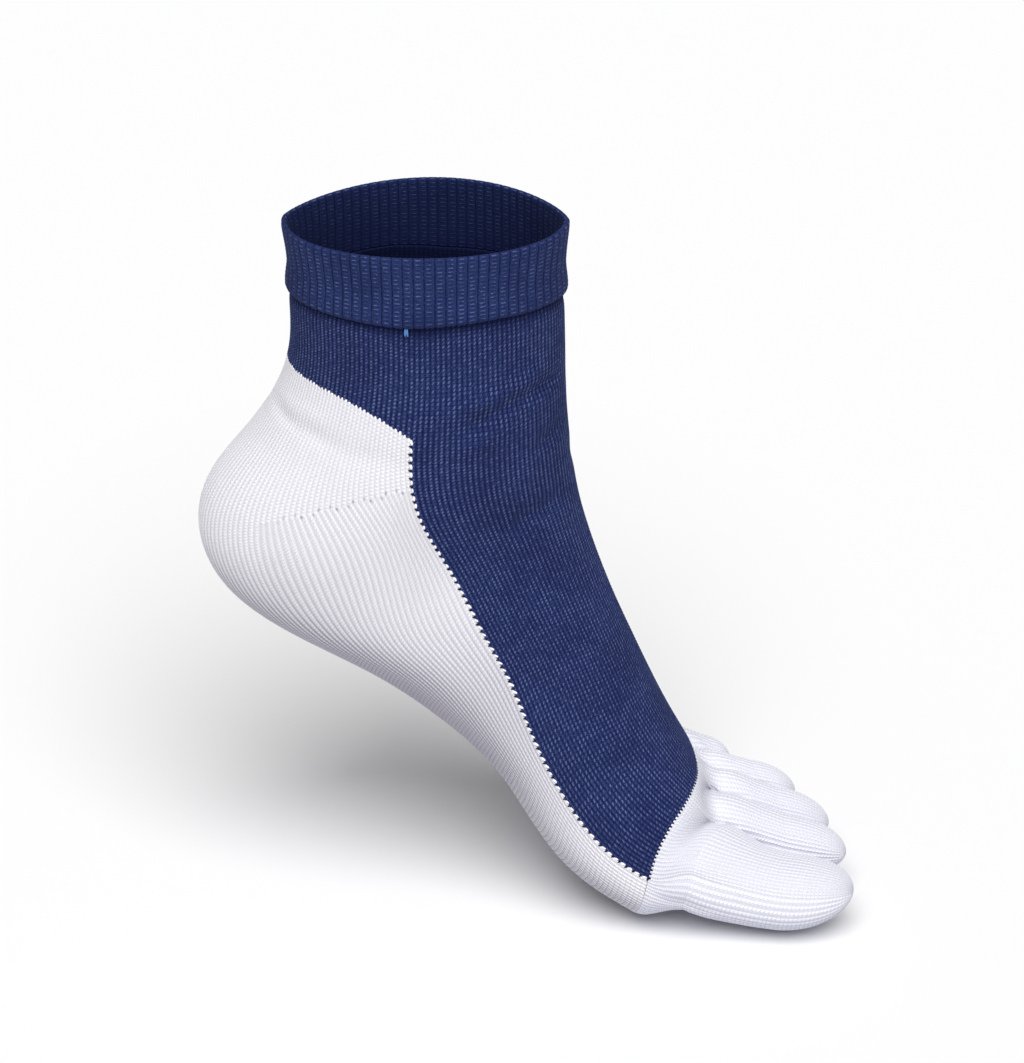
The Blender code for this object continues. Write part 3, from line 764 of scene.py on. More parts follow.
@dataclass(frozen=True)
class YarnFinish:
    """Colour, loops and sheen of a knitted yarn."""

    yarn: Yarn
    body: tuple[float, float, float, float]
    light: tuple[float, float, float, float]
    gap: tuple[float, float, float, float]
    fleck: float
    scatter: float
    gap_depth: float
    mottle: float
    evenly: float
    stitch: Stitch = Stitch.JERSEY
    specular: float = 0.10
    sheen: float = 0.02
    roughness: float = 0.92
    loop_height: float = 0.16
    cloud_scale: float = 55.0
    fibre_scale: float = 2600.0
    hair: float = 0.4
    bump: float = 0.8
    sheen_roughness: float = 0.45

    def build(self) -> bpy.types.Material:
        """Make the material: loops that follow the wales and courses, with flecks of lighter fibre."""
        material = bpy.data.materials.new(finish_name(self.yarn, self.stitch))
        material.use_nodes = True
        nodes = Nodes(material.node_tree)
        shader = material.node_tree.nodes["Principled BSDF"]
        place = nodes.add("ShaderNodeAttribute", attribute_name=KNIT_PLACE, attribute_type="GEOMETRY")
        split = nodes.add("ShaderNodeSeparateXYZ")
        nodes.wire(place.outputs["Vector"], split.inputs[0])
        wale, course, shade = split.outputs
        if self.stitch is Stitch.JERSEY:
            loop, dark = self._jersey(nodes, wale, course)
        else:
            loop, dark = self._rib(nodes, wale, course)
        spot = nodes.math("MULTIPLY", nodes.ramp(loop, 0.3, 0.95), self._chance(nodes, wale, course))
        coordinates = nodes.add("ShaderNodeTexCoord")
        cloud = self._noise(nodes, coordinates, self.cloud_scale, 3.0)
        fibre = self._noise(nodes, coordinates, self.fibre_scale, 2.0)
        colour = nodes.mix(nodes.math("MULTIPLY", dark, self.gap_depth), self.body, self.gap)
        colour = nodes.mix(nodes.math("MULTIPLY", spot, self.fleck), colour, self.light)
        hair = nodes.math("MULTIPLY", nodes.ramp(fibre, 0.48, 0.75), self.fleck * self.hair)
        colour = nodes.mix(hair, colour, self.light)
        uneven = nodes.math("MULTIPLY", nodes.ramp(cloud, 0.35, 0.65), self.mottle)
        colour = nodes.mix(uneven, colour, self.gap)
        shade = nodes.math("MULTIPLY", shade, nodes.ramp(dark, 0.0, 1.0, self.evenly, 1.0), clamp=True)
        nodes.wire(nodes.mix(shade, colour, self.gap), shader.inputs["Base Color"])
        height = nodes.math("MULTIPLY_ADD", fibre, 0.25)
        nodes.wire(loop, height.node.inputs[2])
        bump = nodes.add("ShaderNodeBump")
        bump.inputs["Strength"].default_value = self.bump
        bump.inputs["Distance"].default_value = self.loop_height * MM
        nodes.wire(height, bump.inputs["Height"])
        nodes.wire(bump.outputs[0], shader.inputs["Normal"])
        shader.inputs["Roughness"].default_value = self.roughness
        shader.inputs["Specular IOR Level"].default_value = self.specular
        shader.inputs["Sheen Weight"].default_value = self.sheen
        shader.inputs["Sheen Roughness"].default_value = self.sheen_roughness
        return material

    @staticmethod
    def _noise(nodes: Nodes, coordinates: bpy.types.Node, scale: float, detail: float) -> Socket:
        """Noise over the object's coordinates."""
        noise = nodes.add("ShaderNodeTexNoise")
        noise.inputs["Scale"].default_value = scale
        noise.inputs["Detail"].default_value = detail
        nodes.wire(coordinates.outputs["Object"], noise.inputs["Vector"])
        return noise.outputs[0]

    def _chance(self, nodes: Nodes, wale: Socket, course: Socket) -> Socket:
        """Brightness of each stitch, uneven by chance."""
        cell = nodes.add("ShaderNodeCombineXYZ")
        nodes.wire(nodes.math("FLOOR", wale), cell.inputs[0])
        nodes.wire(nodes.math("FLOOR", course), cell.inputs[1])
        chance = nodes.add("ShaderNodeTexWhiteNoise", noise_dimensions="2D")
        nodes.wire(cell.outputs[0], chance.inputs["Vector"])
        return nodes.ramp(chance.outputs["Value"], 0.0, 1.0, 1.0 - self.scatter, 1.0)

    @staticmethod
    def _jersey(nodes: Nodes, wale: Socket,
                course: Socket) -> tuple[Socket, Socket]:
        """Loops in columns: a slanting bead for each stitch, with a groove between the columns.

        Args:
            nodes: The material's nodes.
            wale: Wale number.
            course: Course number.

        Returns:
            How far a place lies on a bead, and how far it lies in a gap.
        """
        around = nodes.math("SUBTRACT", nodes.math("FRACT", wale), 0.5)
        along = nodes.math("FRACT", course)
        lean = nodes.math("MULTIPLY", nodes.math("SUBTRACT", along, 0.5), 0.35)
        off = nodes.math("ABSOLUTE", nodes.math("SUBTRACT", around, lean))
        bead = nodes.math("SINE", nodes.math("MULTIPLY", along, pi))
        loop = nodes.math("MULTIPLY", nodes.ramp(off, 0.05, 0.30, 1.0, 0.0),
                          nodes.ramp(bead, 0.15, 0.9, 0.3, 1.0))
        crossing = nodes.ramp(bead, 0.0, 0.6, 1.0, 0.0)
        groove = nodes.ramp(nodes.math("ABSOLUTE", around), 0.20, 0.42)
        groove = nodes.math("MULTIPLY", groove, nodes.ramp(crossing, 0.0, 1.0, 0.75, 1.0))
        return loop, nodes.math("MAXIMUM", groove, nodes.math("MULTIPLY", crossing, 0.5))

    @staticmethod
    def _rib(nodes: Nodes, wale: Socket,
             course: Socket) -> tuple[Socket, Socket]:
        """Mock rib: a dark line every other wale and short rungs across the raised ones.

        Args:
            nodes: The material's nodes.
            wale: Wale number.
            course: Course number.

        Returns:
            How far a place lies on a rung, and how far it lies in a gap.
        """
        across = nodes.math("SUBTRACT", nodes.math("FRACT", nodes.math("MULTIPLY", wale, 0.5)), 0.5)
        side = nodes.math("ABSOLUTE", across)
        along = nodes.math("FRACT", course)
        rung = nodes.ramp(nodes.math("ABSOLUTE", nodes.math("SUBTRACT", along, 0.55)), 0.08, 0.24, 1.0, 0.0)
        pit = nodes.ramp(nodes.math("ABSOLUTE", nodes.math("SUBTRACT", along, 0.2)), 0.0, 0.2, 0.55, 0.0)
        edge = nodes.ramp(nodes.math("ABSOLUTE", nodes.math("SUBTRACT", across, 0.06)), 0.16, 0.32, 1.0, 0.0)
        groove = nodes.ramp(side, 0.39, 0.47)
        middle = nodes.ramp(nodes.math("ABSOLUTE", nodes.math("ADD", across, 0.04)), 0.0, 0.05, 0.35, 0.0)
        loop = nodes.math("MULTIPLY", rung, edge)
        pit = nodes.math("MULTIPLY", pit, edge)
        return loop, nodes.math("MAXIMUM", groove, nodes.math("MAXIMUM", middle, pit))


@dataclass(frozen=True)
class ThreadFinish:
    """The bright thread of the tick at the side."""

    colour: tuple[float, float, float, float] = (0.07, 0.30, 0.78, 1.0)
    roughness: float = 0.5

    def build(self) -> bpy.types.Material:
        """Make the material: twisted plies across the thread."""
        material = bpy.data.materials.new(Yarn.BLUE.value + "_finish")
        material.use_nodes = True
        nodes = Nodes(material.node_tree)
        shader = material.node_tree.nodes["Principled BSDF"]
        coordinates = nodes.add("ShaderNodeTexCoord")
        twist = nodes.add("ShaderNodeTexWave", bands_direction="DIAGONAL")
        twist.inputs["Scale"].default_value = 900.0
        nodes.wire(coordinates.outputs["Object"], twist.inputs["Vector"])
        dark = tuple(0.45 * value for value in self.colour[:3]) + (1.0,)
        plies = nodes.mix(nodes.ramp(twist.outputs[1], 0.1, 0.9), dark, self.colour)
        nodes.wire(plies, shader.inputs["Base Color"])
        shader.inputs["Roughness"].default_value = self.roughness
        shader.inputs["Sheen Weight"].default_value = 0.2
        return material


@dataclass
class Cuff:
    """The doubled cuff: one knitted loop of cloth round its outside, over the fold and down its inside."""

    form: SockForm
    wales: int = 144
    courses: int = 17
    rows_a_course: int = 3
    bulge: float = 1.15
    flush: float = 0.3
    swell_from: float = 0.55
    hem: float = 0.075
    inside: float = 1.2
    inside_shade: tuple[float, float] = (0.32, 0.72)
    fold_rows: int = 6
    relief: float = 0.42
    flat_at_fold: float = 0.8
    fold_reach: float = 6.0
    cut: tuple[float, float] = (0.238, 0.025)

    def build(self) -> bpy.types.Object:
        """Make the cuff."""
        columns = np.arange(self.wales * 4) / 4
        share = columns / self.wales
        rise = np.linspace(1, 0, self.courses * self.rows_a_course + 1)
        hemmed = np.sqrt(1 - np.clip(1 - (1 - rise) / self.hem, 0, 1) ** 2)
        swell = np.clip((rise - self.swell_from) / (1 - self.swell_from - self.hem), 0, 1)
        swell = swell * swell * (3 - 2 * swell)
        out = [(place, self.bulge * (hem * (self.flush + (1 - self.flush) * full)), 0.0)
               for place, hem, full in zip(rise, hemmed, swell)]
        radius = (self.inside + self.flush * self.bulge) / 2
        middle = self.flush * self.bulge - radius
        for turn in np.linspace(0, pi, self.fold_rows + 1)[1:-1]:
            out.append((0.0, middle + radius * cos(turn), radius * sin(turn)))
        fall = np.linspace(0, 1, self.courses * 2 + 1)
        out += [(place, -self.inside, 0.0) for place in fall]
        place, off, up = (np.array(each)[:, None] for each in zip(*out))
        place, off, up = (np.broadcast_to(each, (len(out), len(share))) for each in (place, off, up))
        place = place * self.form.hem(share)[None, :]
        down, normals = self.form.onward(place, share[None, :])
        points = self.form.at(place, share[None, :]) + normals * off[..., None] - down * up[..., None]
        walk = np.concatenate([[0], np.cumsum(np.linalg.norm(np.diff(points[:, 0], axis=0), axis=1))])
        course = np.repeat((walk / walk[-1] * (2 * self.courses + 2))[:, None], len(share), axis=1)
        outside = np.roll(points, -1, axis=1) - np.roll(points, 1, axis=1)
        along = np.roll(points, -1, axis=0) - np.roll(points, 1, axis=0)
        outwards = unit(np.cross(along, outside))
        wale = np.repeat(np.arange(self.wales * 4 + 1)[None, :] / 4, len(out), axis=0)
        from_fold = np.arange(len(out)) - len(rise) - self.fold_rows / 2
        deep = np.clip(from_fold / (2 * self.courses), 0, 1)[:, None]
        low, high = self.inside_shade
        shade = np.repeat(np.where(deep > 0, low + (high - low) * deep, 0.0), len(share), axis=1)
        relief = self.relief * (1 - self.flat_at_fold * np.exp(-(from_fold / self.fold_reach) ** 2))[:, None]
        wall = KnitWall("cuff_knit", points, outwards, wale, course, Stitch.MOCK_RIB, closed=True, torus=True,
                        outwards=False, relief=relief, shade=shade)
        piece = wall.build(Yarn.NAVY, ())
        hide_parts("cuff_welt")
        return piece


@dataclass
class Leg:
    """The navy tube of the leg and the flap over the instep."""

    form: SockForm
    courses: int = 28
    instep_courses: int = 125
    groove: float = 0.75
    groove_courses: float = 2.8
    groove_shade: float = 0.85
    leg_cut: tuple[float, float] = (0.233, 0.032)
    instep_cut: tuple[float, float] = (0.117, 0.153)

    def build(self) -> list[bpy.types.Object]:
        """Make the leg and the instep."""
        form = self.form
        spread = np.linspace(-1, 1, form.half_wales * 8 + 1)
        down = np.linspace(0, 1, self.courses * 2 + 1)[:, None]
        side = form.heel_top(1.0)
        start = form.hem(spread / 4)[None, :]
        front_place = start + (side - start) * down
        back = -spread[1:-1][None, :]
        start = form.hem(0.5 - back / 4)
        back_place = start + (form.heel_top(back) - start) * down
        place = np.concatenate([front_place, back_place], axis=1)
        share = np.concatenate([spread[None, :] * form.seam(front_place),
                                form.back_share(back_place, back)], axis=1)
        wale = np.repeat(np.arange(place.shape[1] + 1)[None, :] / 4 - form.half_wales, len(down), axis=0)
        course = np.repeat(down * self.courses, place.shape[1], axis=1)
        points, normals = form.at(place, share), form.onward(place, share)[1]
        sunk = np.exp(-(course / self.groove_courses) ** 2)
        leg = KnitWall("leg_knit", points - normals * (self.groove * sunk)[..., None], normals, wale,
                       course, closed=True, shade=self.groove_shade * sunk)
        leg_piece = leg.build(Yarn.NAVY)
        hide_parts("leg_instep")
        end = form.toe_line(form.seam(float(LAST)))
        along = np.linspace(0, 1, self.instep_courses * 2 + 1)[:, None]
        place = side + (form.toe_line(spread * form.seam(end)) - side)[None, :] * along
        share = spread[None, :] * form.seam(place)
        wale = np.repeat(spread[None, :] * form.half_wales, len(along), axis=0)
        course = np.repeat(self.courses + along * self.instep_courses, place.shape[1], axis=1)
        instep = KnitWall("instep_knit", form.at(place, share), form.onward(place, share)[1], wale, course)
        instep_piece = instep.build(Yarn.NAVY)
        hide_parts("leg_instep")
        return [leg_piece, instep_piece]


def full_course(course: Grid) -> Grid:
    """Repeat the first column at the end of a ring's grid."""
    return np.concatenate([course, course[:, :1]], axis=1)


@dataclass
class Foot:
    """The white upper heel, and the lower heel with the sole."""

    form: SockForm
    first_course: int = 28
    heel_courses: int = 42
    sole_courses: int = 106
    half_wales: int = 45
    gore_pit: float = 0.4
    gore_shade: float = 1.3
    lean: float = 0.4
    lean_span: float = 3.5
    # painted shade on the faces that look down
    underside_shade: float = 1.2
    relief: float = 0.26
    ridge: float = 0.6
    # the next three numbers are the strength, middle and reach of the painted shade along the sole's arch
    arch: float = 0.75
    arch_shade_at: float = 10.6
    arch_shade_span: float = 2.2
    heel_cut: tuple[float, float] = (0.140, 0.043)
    sole_cut: tuple[float, float] = (0.140, 0.170)

    def _pits(self, spread: Grid, from_gore: Grid, odd: bool) -> Grid:
        """Depth of the eyelets along the gore line, from 0 to 1.

        Args:
            spread: Wales from 1 at the inner seam to -1 at the outer seam.
            from_gore: Courses away from the gore line.
            odd: Whether the eyelets lie on odd wales, and not on even ones.

        Returns:
            The depth.
        """
        narrow = self.form.narrow_wales / self.form.half_wales
        on_gore = np.clip((np.abs(spread) - narrow) * 6, 0, 1) * (np.abs(spread) < 0.985)
        wale = spread * self.half_wales
        every = np.abs(np.sin(pi * wale / 2) if odd else np.cos(pi * wale / 2)) ** 16
        return on_gore * every * (0.55 + 0.45 * np.sin(2.1 * wale)) * np.exp(-((from_gore - 0.5) / 0.4) ** 2)

    def build(self) -> list[bpy.types.Object]:
        """Make the heel and the sole."""
        form = self.form
        spread = np.linspace(1, -1, self.half_wales * 6 + 1)[None, :]
        limit = form.gore_course(spread)
        down = np.linspace(0, 1, self.heel_courses * 2 + 1)[:, None]
        place = form.upper_heel(down * limit, spread + 0 * down)
        share = form.back_share(place, spread)
        pits = self._pits(spread, (1 - down) * limit * self.heel_courses, False)
        course = self.first_course + down * limit * self.heel_courses
        heel_piece = self._wall("heel_knit", place, share, spread, course, pits).build(Yarn.WHITE)
        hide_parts("heel")
        return [heel_piece, self._sole(spread)]

    def _wall(self, name: str, place: Grid, share: Grid, spread: Grid, course: Grid, pits: Grid,
              painted_arch_shade: float | Grid = 0.0) -> KnitWall:
        """Lay out one white wall, with the eyelets sunk into it and painted shade in the eyelets, on the
        faces that look down and along the arch.

        Args:
            name: Name of its object.
            place: Section numbers.
            share: Shares of the way round.
            spread: Wales from 1 at the inner seam to -1 at the outer seam.
            course: Course numbers.
            pits: Depth of the eyelets.
            painted_arch_shade: Painted shade along the sole's arch.

        Returns:
            The wall.
        """
        points, normals = self.form.at(place, share), self.form.onward(place, share)[1]
        wale = np.repeat(2 * self.half_wales - spread * self.half_wales, len(place), axis=0)
        # painted shade: in the eyelets, on the faces that look down and along the sole's arch
        shade = self.gore_shade * pits + painted_underside_shade(normals, self.underside_shade) + painted_arch_shade
        return KnitWall(name, points - normals * (self.gore_pit * pits)[..., None], normals, wale, course,
                        shade=shade, relief=self.relief, ridge=self.ridge, column_step=3)

    def _sole(self, spread: Grid) -> bpy.types.Object:
        """Make the lower heel and the sole.

        Args:
            spread: Wales from 1 at the inner seam to -1 at the outer seam.

        Returns:
            The sole's object.
        """
        form = self.form
        narrow = form.narrow_wales / form.half_wales
        started = np.clip((np.abs(spread) - narrow) / (1 - narrow), 0, 1)
        gored = int(self.heel_courses * (1 - form.side_share))
        down = np.linspace(0, 1, (gored + self.sole_courses) * 2 + 1)[:, None]
        start, end = form.gore(spread), form.toe_line(form.back_share(float(LAST), spread))
        place = start + (end - start) * down
        course = gored * started + (gored * (1 - started) + self.sole_courses) * down
        below = np.clip((place - start) / self.lean_span, 0, 1)
        lean = self.lean * below * (1 - below) ** 2 * np.sin(pi * started) * np.sign(spread)
        share = form.back_share(place, spread + lean)
        pits = self._pits(spread, course - course[:1], True)
        # painted shade along the sole's arch
        painted_arch_shade = self.arch * np.exp(-((place - self.arch_shade_at) / self.arch_shade_span) ** 2)
        wall = self._wall("sole_knit", place, share, spread, self.first_course + course, pits, painted_arch_shade)
        piece = wall.build(Yarn.WHITE)
        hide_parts("sole")
        return piece


@dataclass
class ToeBox:
    """The white band round the forefoot and the five toe tubes."""

    form: SockForm
    side_wales: int = 5
    side_half: float = 0.012
    course_pitch: float = 1.25
    web_corner: float = pi / 7
    blend_end: float = 0.35
    tip_start: float = 0.55
    tip_ring: float = 0.9992
    rounding: float = 2.15
    # painted shade on the band's and toes' faces that look down
    underside_shade: float = 0.7
    relief: float = 0.24
    ridge: float = 0.6
    fade_rows: int = 3
    rings: int = 121
    closing_share: float = 0.9
    base_cut: tuple[float, float] = (0.238, 0.024)

    @staticmethod
    def _arc(start: Grid, top: Grid, end: Grid, steps: int) -> Grid:
        """Points of half an ellipse from start over top to end, without the last."""
        start, top, end = (np.array(point) for point in (start, top, end))
        middle = (start + end) / 2
        angle = np.linspace(0, pi, steps + 1)[:-1, None]
        return middle + (start - middle) * np.cos(angle) + (top - middle) * np.sin(angle)

    def _web_line(self, web: Web) -> Grid:
        """Points down a line between two toes or down a free side, without the last."""
        upper, lower = np.array(web.upper), np.array(web.lower)
        down = np.linspace(0, 1, self.side_wales * 4 + 1)[:-1, None]
        return upper + (lower - upper) * down + np.array([0, web.bulge, 0]) * np.sin(pi * down)

    def _web_up(self, web: Web) -> Grid:
        """The same line from its lower end up."""
        return self._web_line(Web(web.lower, web.upper, web.bulge))

    @staticmethod
    def _centre(toe: Toe) -> Grid:
        """Middle of a toe's root."""
        return (np.array(toe.crown) + np.array(toe.pad)) / 2

    def _axis(self, number: int) -> Grid:
        """Direction of a toe's axis."""
        return unit(np.array(TOES[number].tip) - self._centre(TOES[number]))

    def build(self) -> list[bpy.types.Object]:
        """Make the band and the toes."""
        return [self._band()] + [self._toe(number) for number in range(len(TOES))]

    def _band(self) -> bpy.types.Object:
        """Make the band, lofted from the navy edge to the roots of the toes."""
        wales = np.array([toe.wales for toe in TOES])
        corner = (0.25 - self.side_half) * (1 - 2 * np.concatenate([[0], np.cumsum(wales)]) / wales.sum())
        far, share, axis = [], [], []

        def stretch(points: Grid, start: float, end: float, number: int) -> None:
            """Add a stretch of the ring: its far points, its shares of the way round and its toe's axis."""
            far.append(points)
            share.append(np.linspace(start, end, len(points) + 1)[:-1])
            axis.append(np.repeat(self._axis(number)[None, :], len(points), axis=0))

        for k, toe in enumerate(TOES):
            top = self._arc(WEBS[k].upper, toe.crown, WEBS[k + 1].upper, toe.wales * 4)
            stretch(top, corner[k], corner[k + 1], k)
        stretch(self._web_line(WEBS[-1]), corner[-1], corner[-1] - 2 * self.side_half, len(TOES) - 1)
        for k in reversed(range(len(TOES))):
            under = self._arc(WEBS[k + 1].lower, TOES[k].pad, WEBS[k].lower, TOES[k].wales * 4)
            stretch(under, 0.5 - corner[k + 1] - 1, 0.5 - corner[k] - 1, k)
        stretch(self._web_up(WEBS[0]), 0.5 - corner[0] - 1, corner[0] - 1, 0)
        far, share, axis = np.concatenate(far), np.concatenate(share), np.concatenate(axis)
        near = self.form.at(self.form.toe_line(share), share)
        down = self.form.onward(self.form.toe_line(share), share)[0]
        reach = np.linalg.norm(far - near, axis=1, keepdims=True)
        courses = int(round(float(np.mean(reach)) / self.course_pitch))
        u = np.linspace(0, 1, courses * 2 + 1)[:, None, None]
        points = near * (2 * u ** 3 - 3 * u ** 2 + 1) + far * (3 * u ** 2 - 2 * u ** 3)
        points = points + down * reach * (u ** 3 - 2 * u ** 2 + u) + axis * reach * (u ** 3 - u ** 2)
        count = points.shape[1]
        wale = np.repeat(np.arange(count + 1)[None, :] / 4, len(u), axis=0)
        course = np.repeat(u[:, :, 0] * courses, count, axis=1)
        normals = -surface_normals(points, True)
        # the band carries painted shade on its faces that look down
        wall = KnitWall("toe_base_knit", points, normals, wale, course, closed=True, outwards=False,
                        relief=self.relief, ridge=self.ridge, fade=(0, self.fade_rows),
                        shade=painted_underside_shade(normals, self.underside_shade))
        piece = wall.build(Yarn.TOE_WHITE)
        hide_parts("toe_base")
        return piece

    def _toe(self, number: int) -> bpy.types.Object:
        """Make one toe tube: its root's ring turns into round sections that close at the tip.

        Args:
            number: Number of the toe, 0 for the big one.

        Returns:
            The toe's object.
        """
        toe, inner, outer = TOES[number], WEBS[number], WEBS[number + 1]
        axis, centre = self._axis(number), self._centre(toe)
        steps = toe.wales * 4
        root = np.concatenate([self._arc(inner.upper, toe.crown, outer.upper, steps), self._web_line(outer),
                               self._arc(outer.lower, toe.pad, inner.lower, steps), self._web_up(inner)])
        length = np.linalg.norm(np.array(toe.tip) - centre)
        sideways = unit(np.cross(axis, (0, 0, 1)))
        upwards = np.cross(sideways, axis)
        top = np.linspace(pi - self.web_corner, self.web_corner, steps + 1)[:-1]
        side = np.linspace(self.web_corner, -self.web_corner, self.side_wales * 4 + 1)[:-1]
        angle = np.concatenate([top, side, top - pi, side - pi])
        level, rise = np.cos(angle), np.sin(angle)
        round_side = -sideways * (np.sign(level) * np.abs(level) ** (2 / self.rounding))[:, None]
        round_up = upwards * (np.sign(rise) * np.abs(rise) ** (2 / self.rounding))[:, None]
        root_height = np.linalg.norm(np.array(toe.crown) - centre)
        ahead = ((root - centre) @ axis)[:, None] * axis
        flat = root - centre - ahead
        rings = []
        for step in np.sin(np.linspace(0, 1, self.rings) * asin(self.tip_ring)):
            blend = min(step / self.blend_end, 1.0)
            blend = blend * blend * (3 - 2 * blend)
            tip = max(0.0, (step - self.tip_start) / (1 - self.tip_start))
            closing = np.sqrt(1 - tip * tip)
            height = root_height + (toe.half_height - root_height) * min(1.0, 2 * step)
            middle = centre + axis * length * step + upwards * toe.arch * 4 * step * (1 - step)
            section = (round_side * toe.half_width + round_up * height) * closing
            rings.append(middle + flat * (1 - blend) + section * blend + ahead * (1 - step))
        rings = np.array(rings)
        walk = np.linalg.norm(np.diff(rings, axis=0), axis=-1).mean(axis=1)
        walk = np.concatenate([[0], np.cumsum(walk)])
        courses = int(round(walk[-1] / self.course_pitch))
        even = np.linspace(0, walk[-1], courses * 2 + 1)
        low = np.clip(np.searchsorted(walk, even, side="right") - 1, 0, len(walk) - 2)
        part = ((even - walk[low]) / (walk[low + 1] - walk[low]))[:, None, None]
        points = rings[low] * (1 - part) + rings[low + 1] * part
        wale = np.repeat(np.arange(len(root) + 1)[None, :] / 4, len(even), axis=0)
        course = np.repeat(even[:, None] / self.course_pitch, len(root), axis=1)
        normals = -surface_normals(points, True)
        # the toe carries painted shade on its faces that look down
        wall = KnitWall(toe.name + "_knit", points, normals, wale, course, closed=True, capped=True,
                        outwards=False, relief=self.relief, ridge=self.ridge, fade=(self.fade_rows, 0),
                        shade=painted_underside_shade(normals, self.underside_shade))
        piece = wall.build(Yarn.TOE_WHITE, ())
        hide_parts(toe.name)
        return piece


class Bead(NamedTuple):
    """The size of a seam's stitch and how it lies."""

    length: float
    width: float
    height: float
    lift: float
    turn: float


KNOB = Bead(1.9, 0.9, 0.85, 0.0, 0.3)
NOTCH = Bead(1.3, 0.55, 0.5, 0.2, 1.1)
HEEL_BEAD = Bead(1.15, 1.0, 0.55, 0.05, 0.3)
TOE_BEAD = Bead(1.1, 0.8, 0.5, 0.05, 0.0)


@dataclass
class SeamStitches:
    """Beads of yarn along an edge: one stitch shape on points, by Geometry Nodes."""

    name: str
    yarn: Yarn
    points: Grid
    facing: Grid
    along: Grid
    bead: Bead
    sunk: bool = False
    seed: int = 7

    def build(self) -> bpy.types.Object:
        """Make the stitches as one plain mesh."""
        mesh = bpy.data.meshes.new(self.name)
        mesh.from_pydata((self.points * MM).tolist(), [], [])
        for name, vectors in (("facing", self.facing), ("along", self.along)):
            layer = mesh.attributes.new(name, "FLOAT_VECTOR", "POINT")
            layer.data.foreach_set("vector", vectors.astype(np.float32).ravel())
        carrier = bpy.data.objects.new(self.name + "_points", mesh)
        bpy.context.scene.collection.objects.link(carrier)
        modifier = carrier.modifiers.new("stitches", "NODES")
        modifier.node_group = self._tree()
        values = {"Length": self.bead.length * MM, "Width": self.bead.width * MM,
                  "Height": self.bead.height * MM, "Seed": self.seed,
                  "Yarn": bpy.data.materials[finish_name(self.yarn, Stitch.JERSEY)]}
        for item in modifier.node_group.interface.items_tree:
            if item.name in values:
                modifier[item.identifier] = values[item.name]
        bpy.context.view_layer.update()
        graph = bpy.context.evaluated_depsgraph_get()
        result = bpy.data.meshes.new_from_object(carrier.evaluated_get(graph))
        bpy.data.objects.remove(carrier, do_unlink=True)
        result.name = self.name
        place = result.attributes.new(KNIT_PLACE, "FLOAT_VECTOR", "POINT")
        flat = np.zeros(len(result.vertices) * 3, dtype=np.float32)
        flat[0::3] = flat[1::3] = 0.0 if self.sunk else 0.5
        place.data.foreach_set("vector", flat)
        result.shade_smooth()
        return new_object(self.name, result, self.yarn)

    def _tree(self) -> bpy.types.NodeTree:
        """Build the tree: an ellipsoid on each point, turned along the seam and square to the cloth."""
        sizes = ("Length", "Width", "Height")
        tree = bpy.data.node_groups.new(self.name + "_tree", "GeometryNodeTree")
        tree.interface.new_socket("Geometry", in_out="INPUT", socket_type="NodeSocketGeometry")
        for name in sizes:
            tree.interface.new_socket(name, in_out="INPUT", socket_type="NodeSocketFloat")
        tree.interface.new_socket("Seed", in_out="INPUT", socket_type="NodeSocketInt")
        tree.interface.new_socket("Yarn", in_out="INPUT", socket_type="NodeSocketMaterial")
        tree.interface.new_socket("Geometry", in_out="OUTPUT", socket_type="NodeSocketGeometry")
        link = tree.links.new
        start, end = tree.nodes.new("NodeGroupInput"), tree.nodes.new("NodeGroupOutput")
        ball = tree.nodes.new("GeometryNodeMeshUVSphere")
        ball.inputs["Segments"].default_value = 8
        ball.inputs["Rings"].default_value = 5
        ball.inputs["Radius"].default_value = 0.5
        directions = []
        for name in ("facing", "along"):
            read = tree.nodes.new("GeometryNodeInputNamedAttribute")
            read.data_type = "FLOAT_VECTOR"
            read.inputs["Name"].default_value = name
            directions.append(read.outputs["Attribute"])
        turn = tree.nodes.new("FunctionNodeAxesToRotation")
        turn.primary_axis = "Z"
        turn.secondary_axis = "X"
        link(directions[0], turn.inputs[0])
        link(directions[1], turn.inputs[1])
        scale = tree.nodes.new("ShaderNodeCombineXYZ")
        for k, name in enumerate(sizes):
            link(start.outputs[name], scale.inputs[k])
        chance = tree.nodes.new("FunctionNodeRandomValue")
        chance.data_type = "FLOAT"
        chance.inputs[2].default_value = 0.85
        chance.inputs[3].default_value = 1.15
        link(start.outputs["Seed"], chance.inputs["Seed"])
        uneven = tree.nodes.new("ShaderNodeVectorMath")
        uneven.operation = "SCALE"
        link(scale.outputs[0], uneven.inputs[0])
        link(chance.outputs[1], uneven.inputs["Scale"])
        put = tree.nodes.new("GeometryNodeInstanceOnPoints")
        link(start.outputs["Geometry"], put.inputs["Points"])
        link(ball.outputs["Mesh"], put.inputs["Instance"])
        link(turn.outputs[0], put.inputs["Rotation"])
        link(uneven.outputs[0], put.inputs["Scale"])
        real = tree.nodes.new("GeometryNodeRealizeInstances")
        link(put.outputs[0], real.inputs[0])
        dress = tree.nodes.new("GeometryNodeSetMaterial")
        link(real.outputs[0], dress.inputs["Geometry"])
        link(start.outputs["Yarn"], dress.inputs["Material"])
        link(dress.outputs[0], end.inputs[0])
        return tree


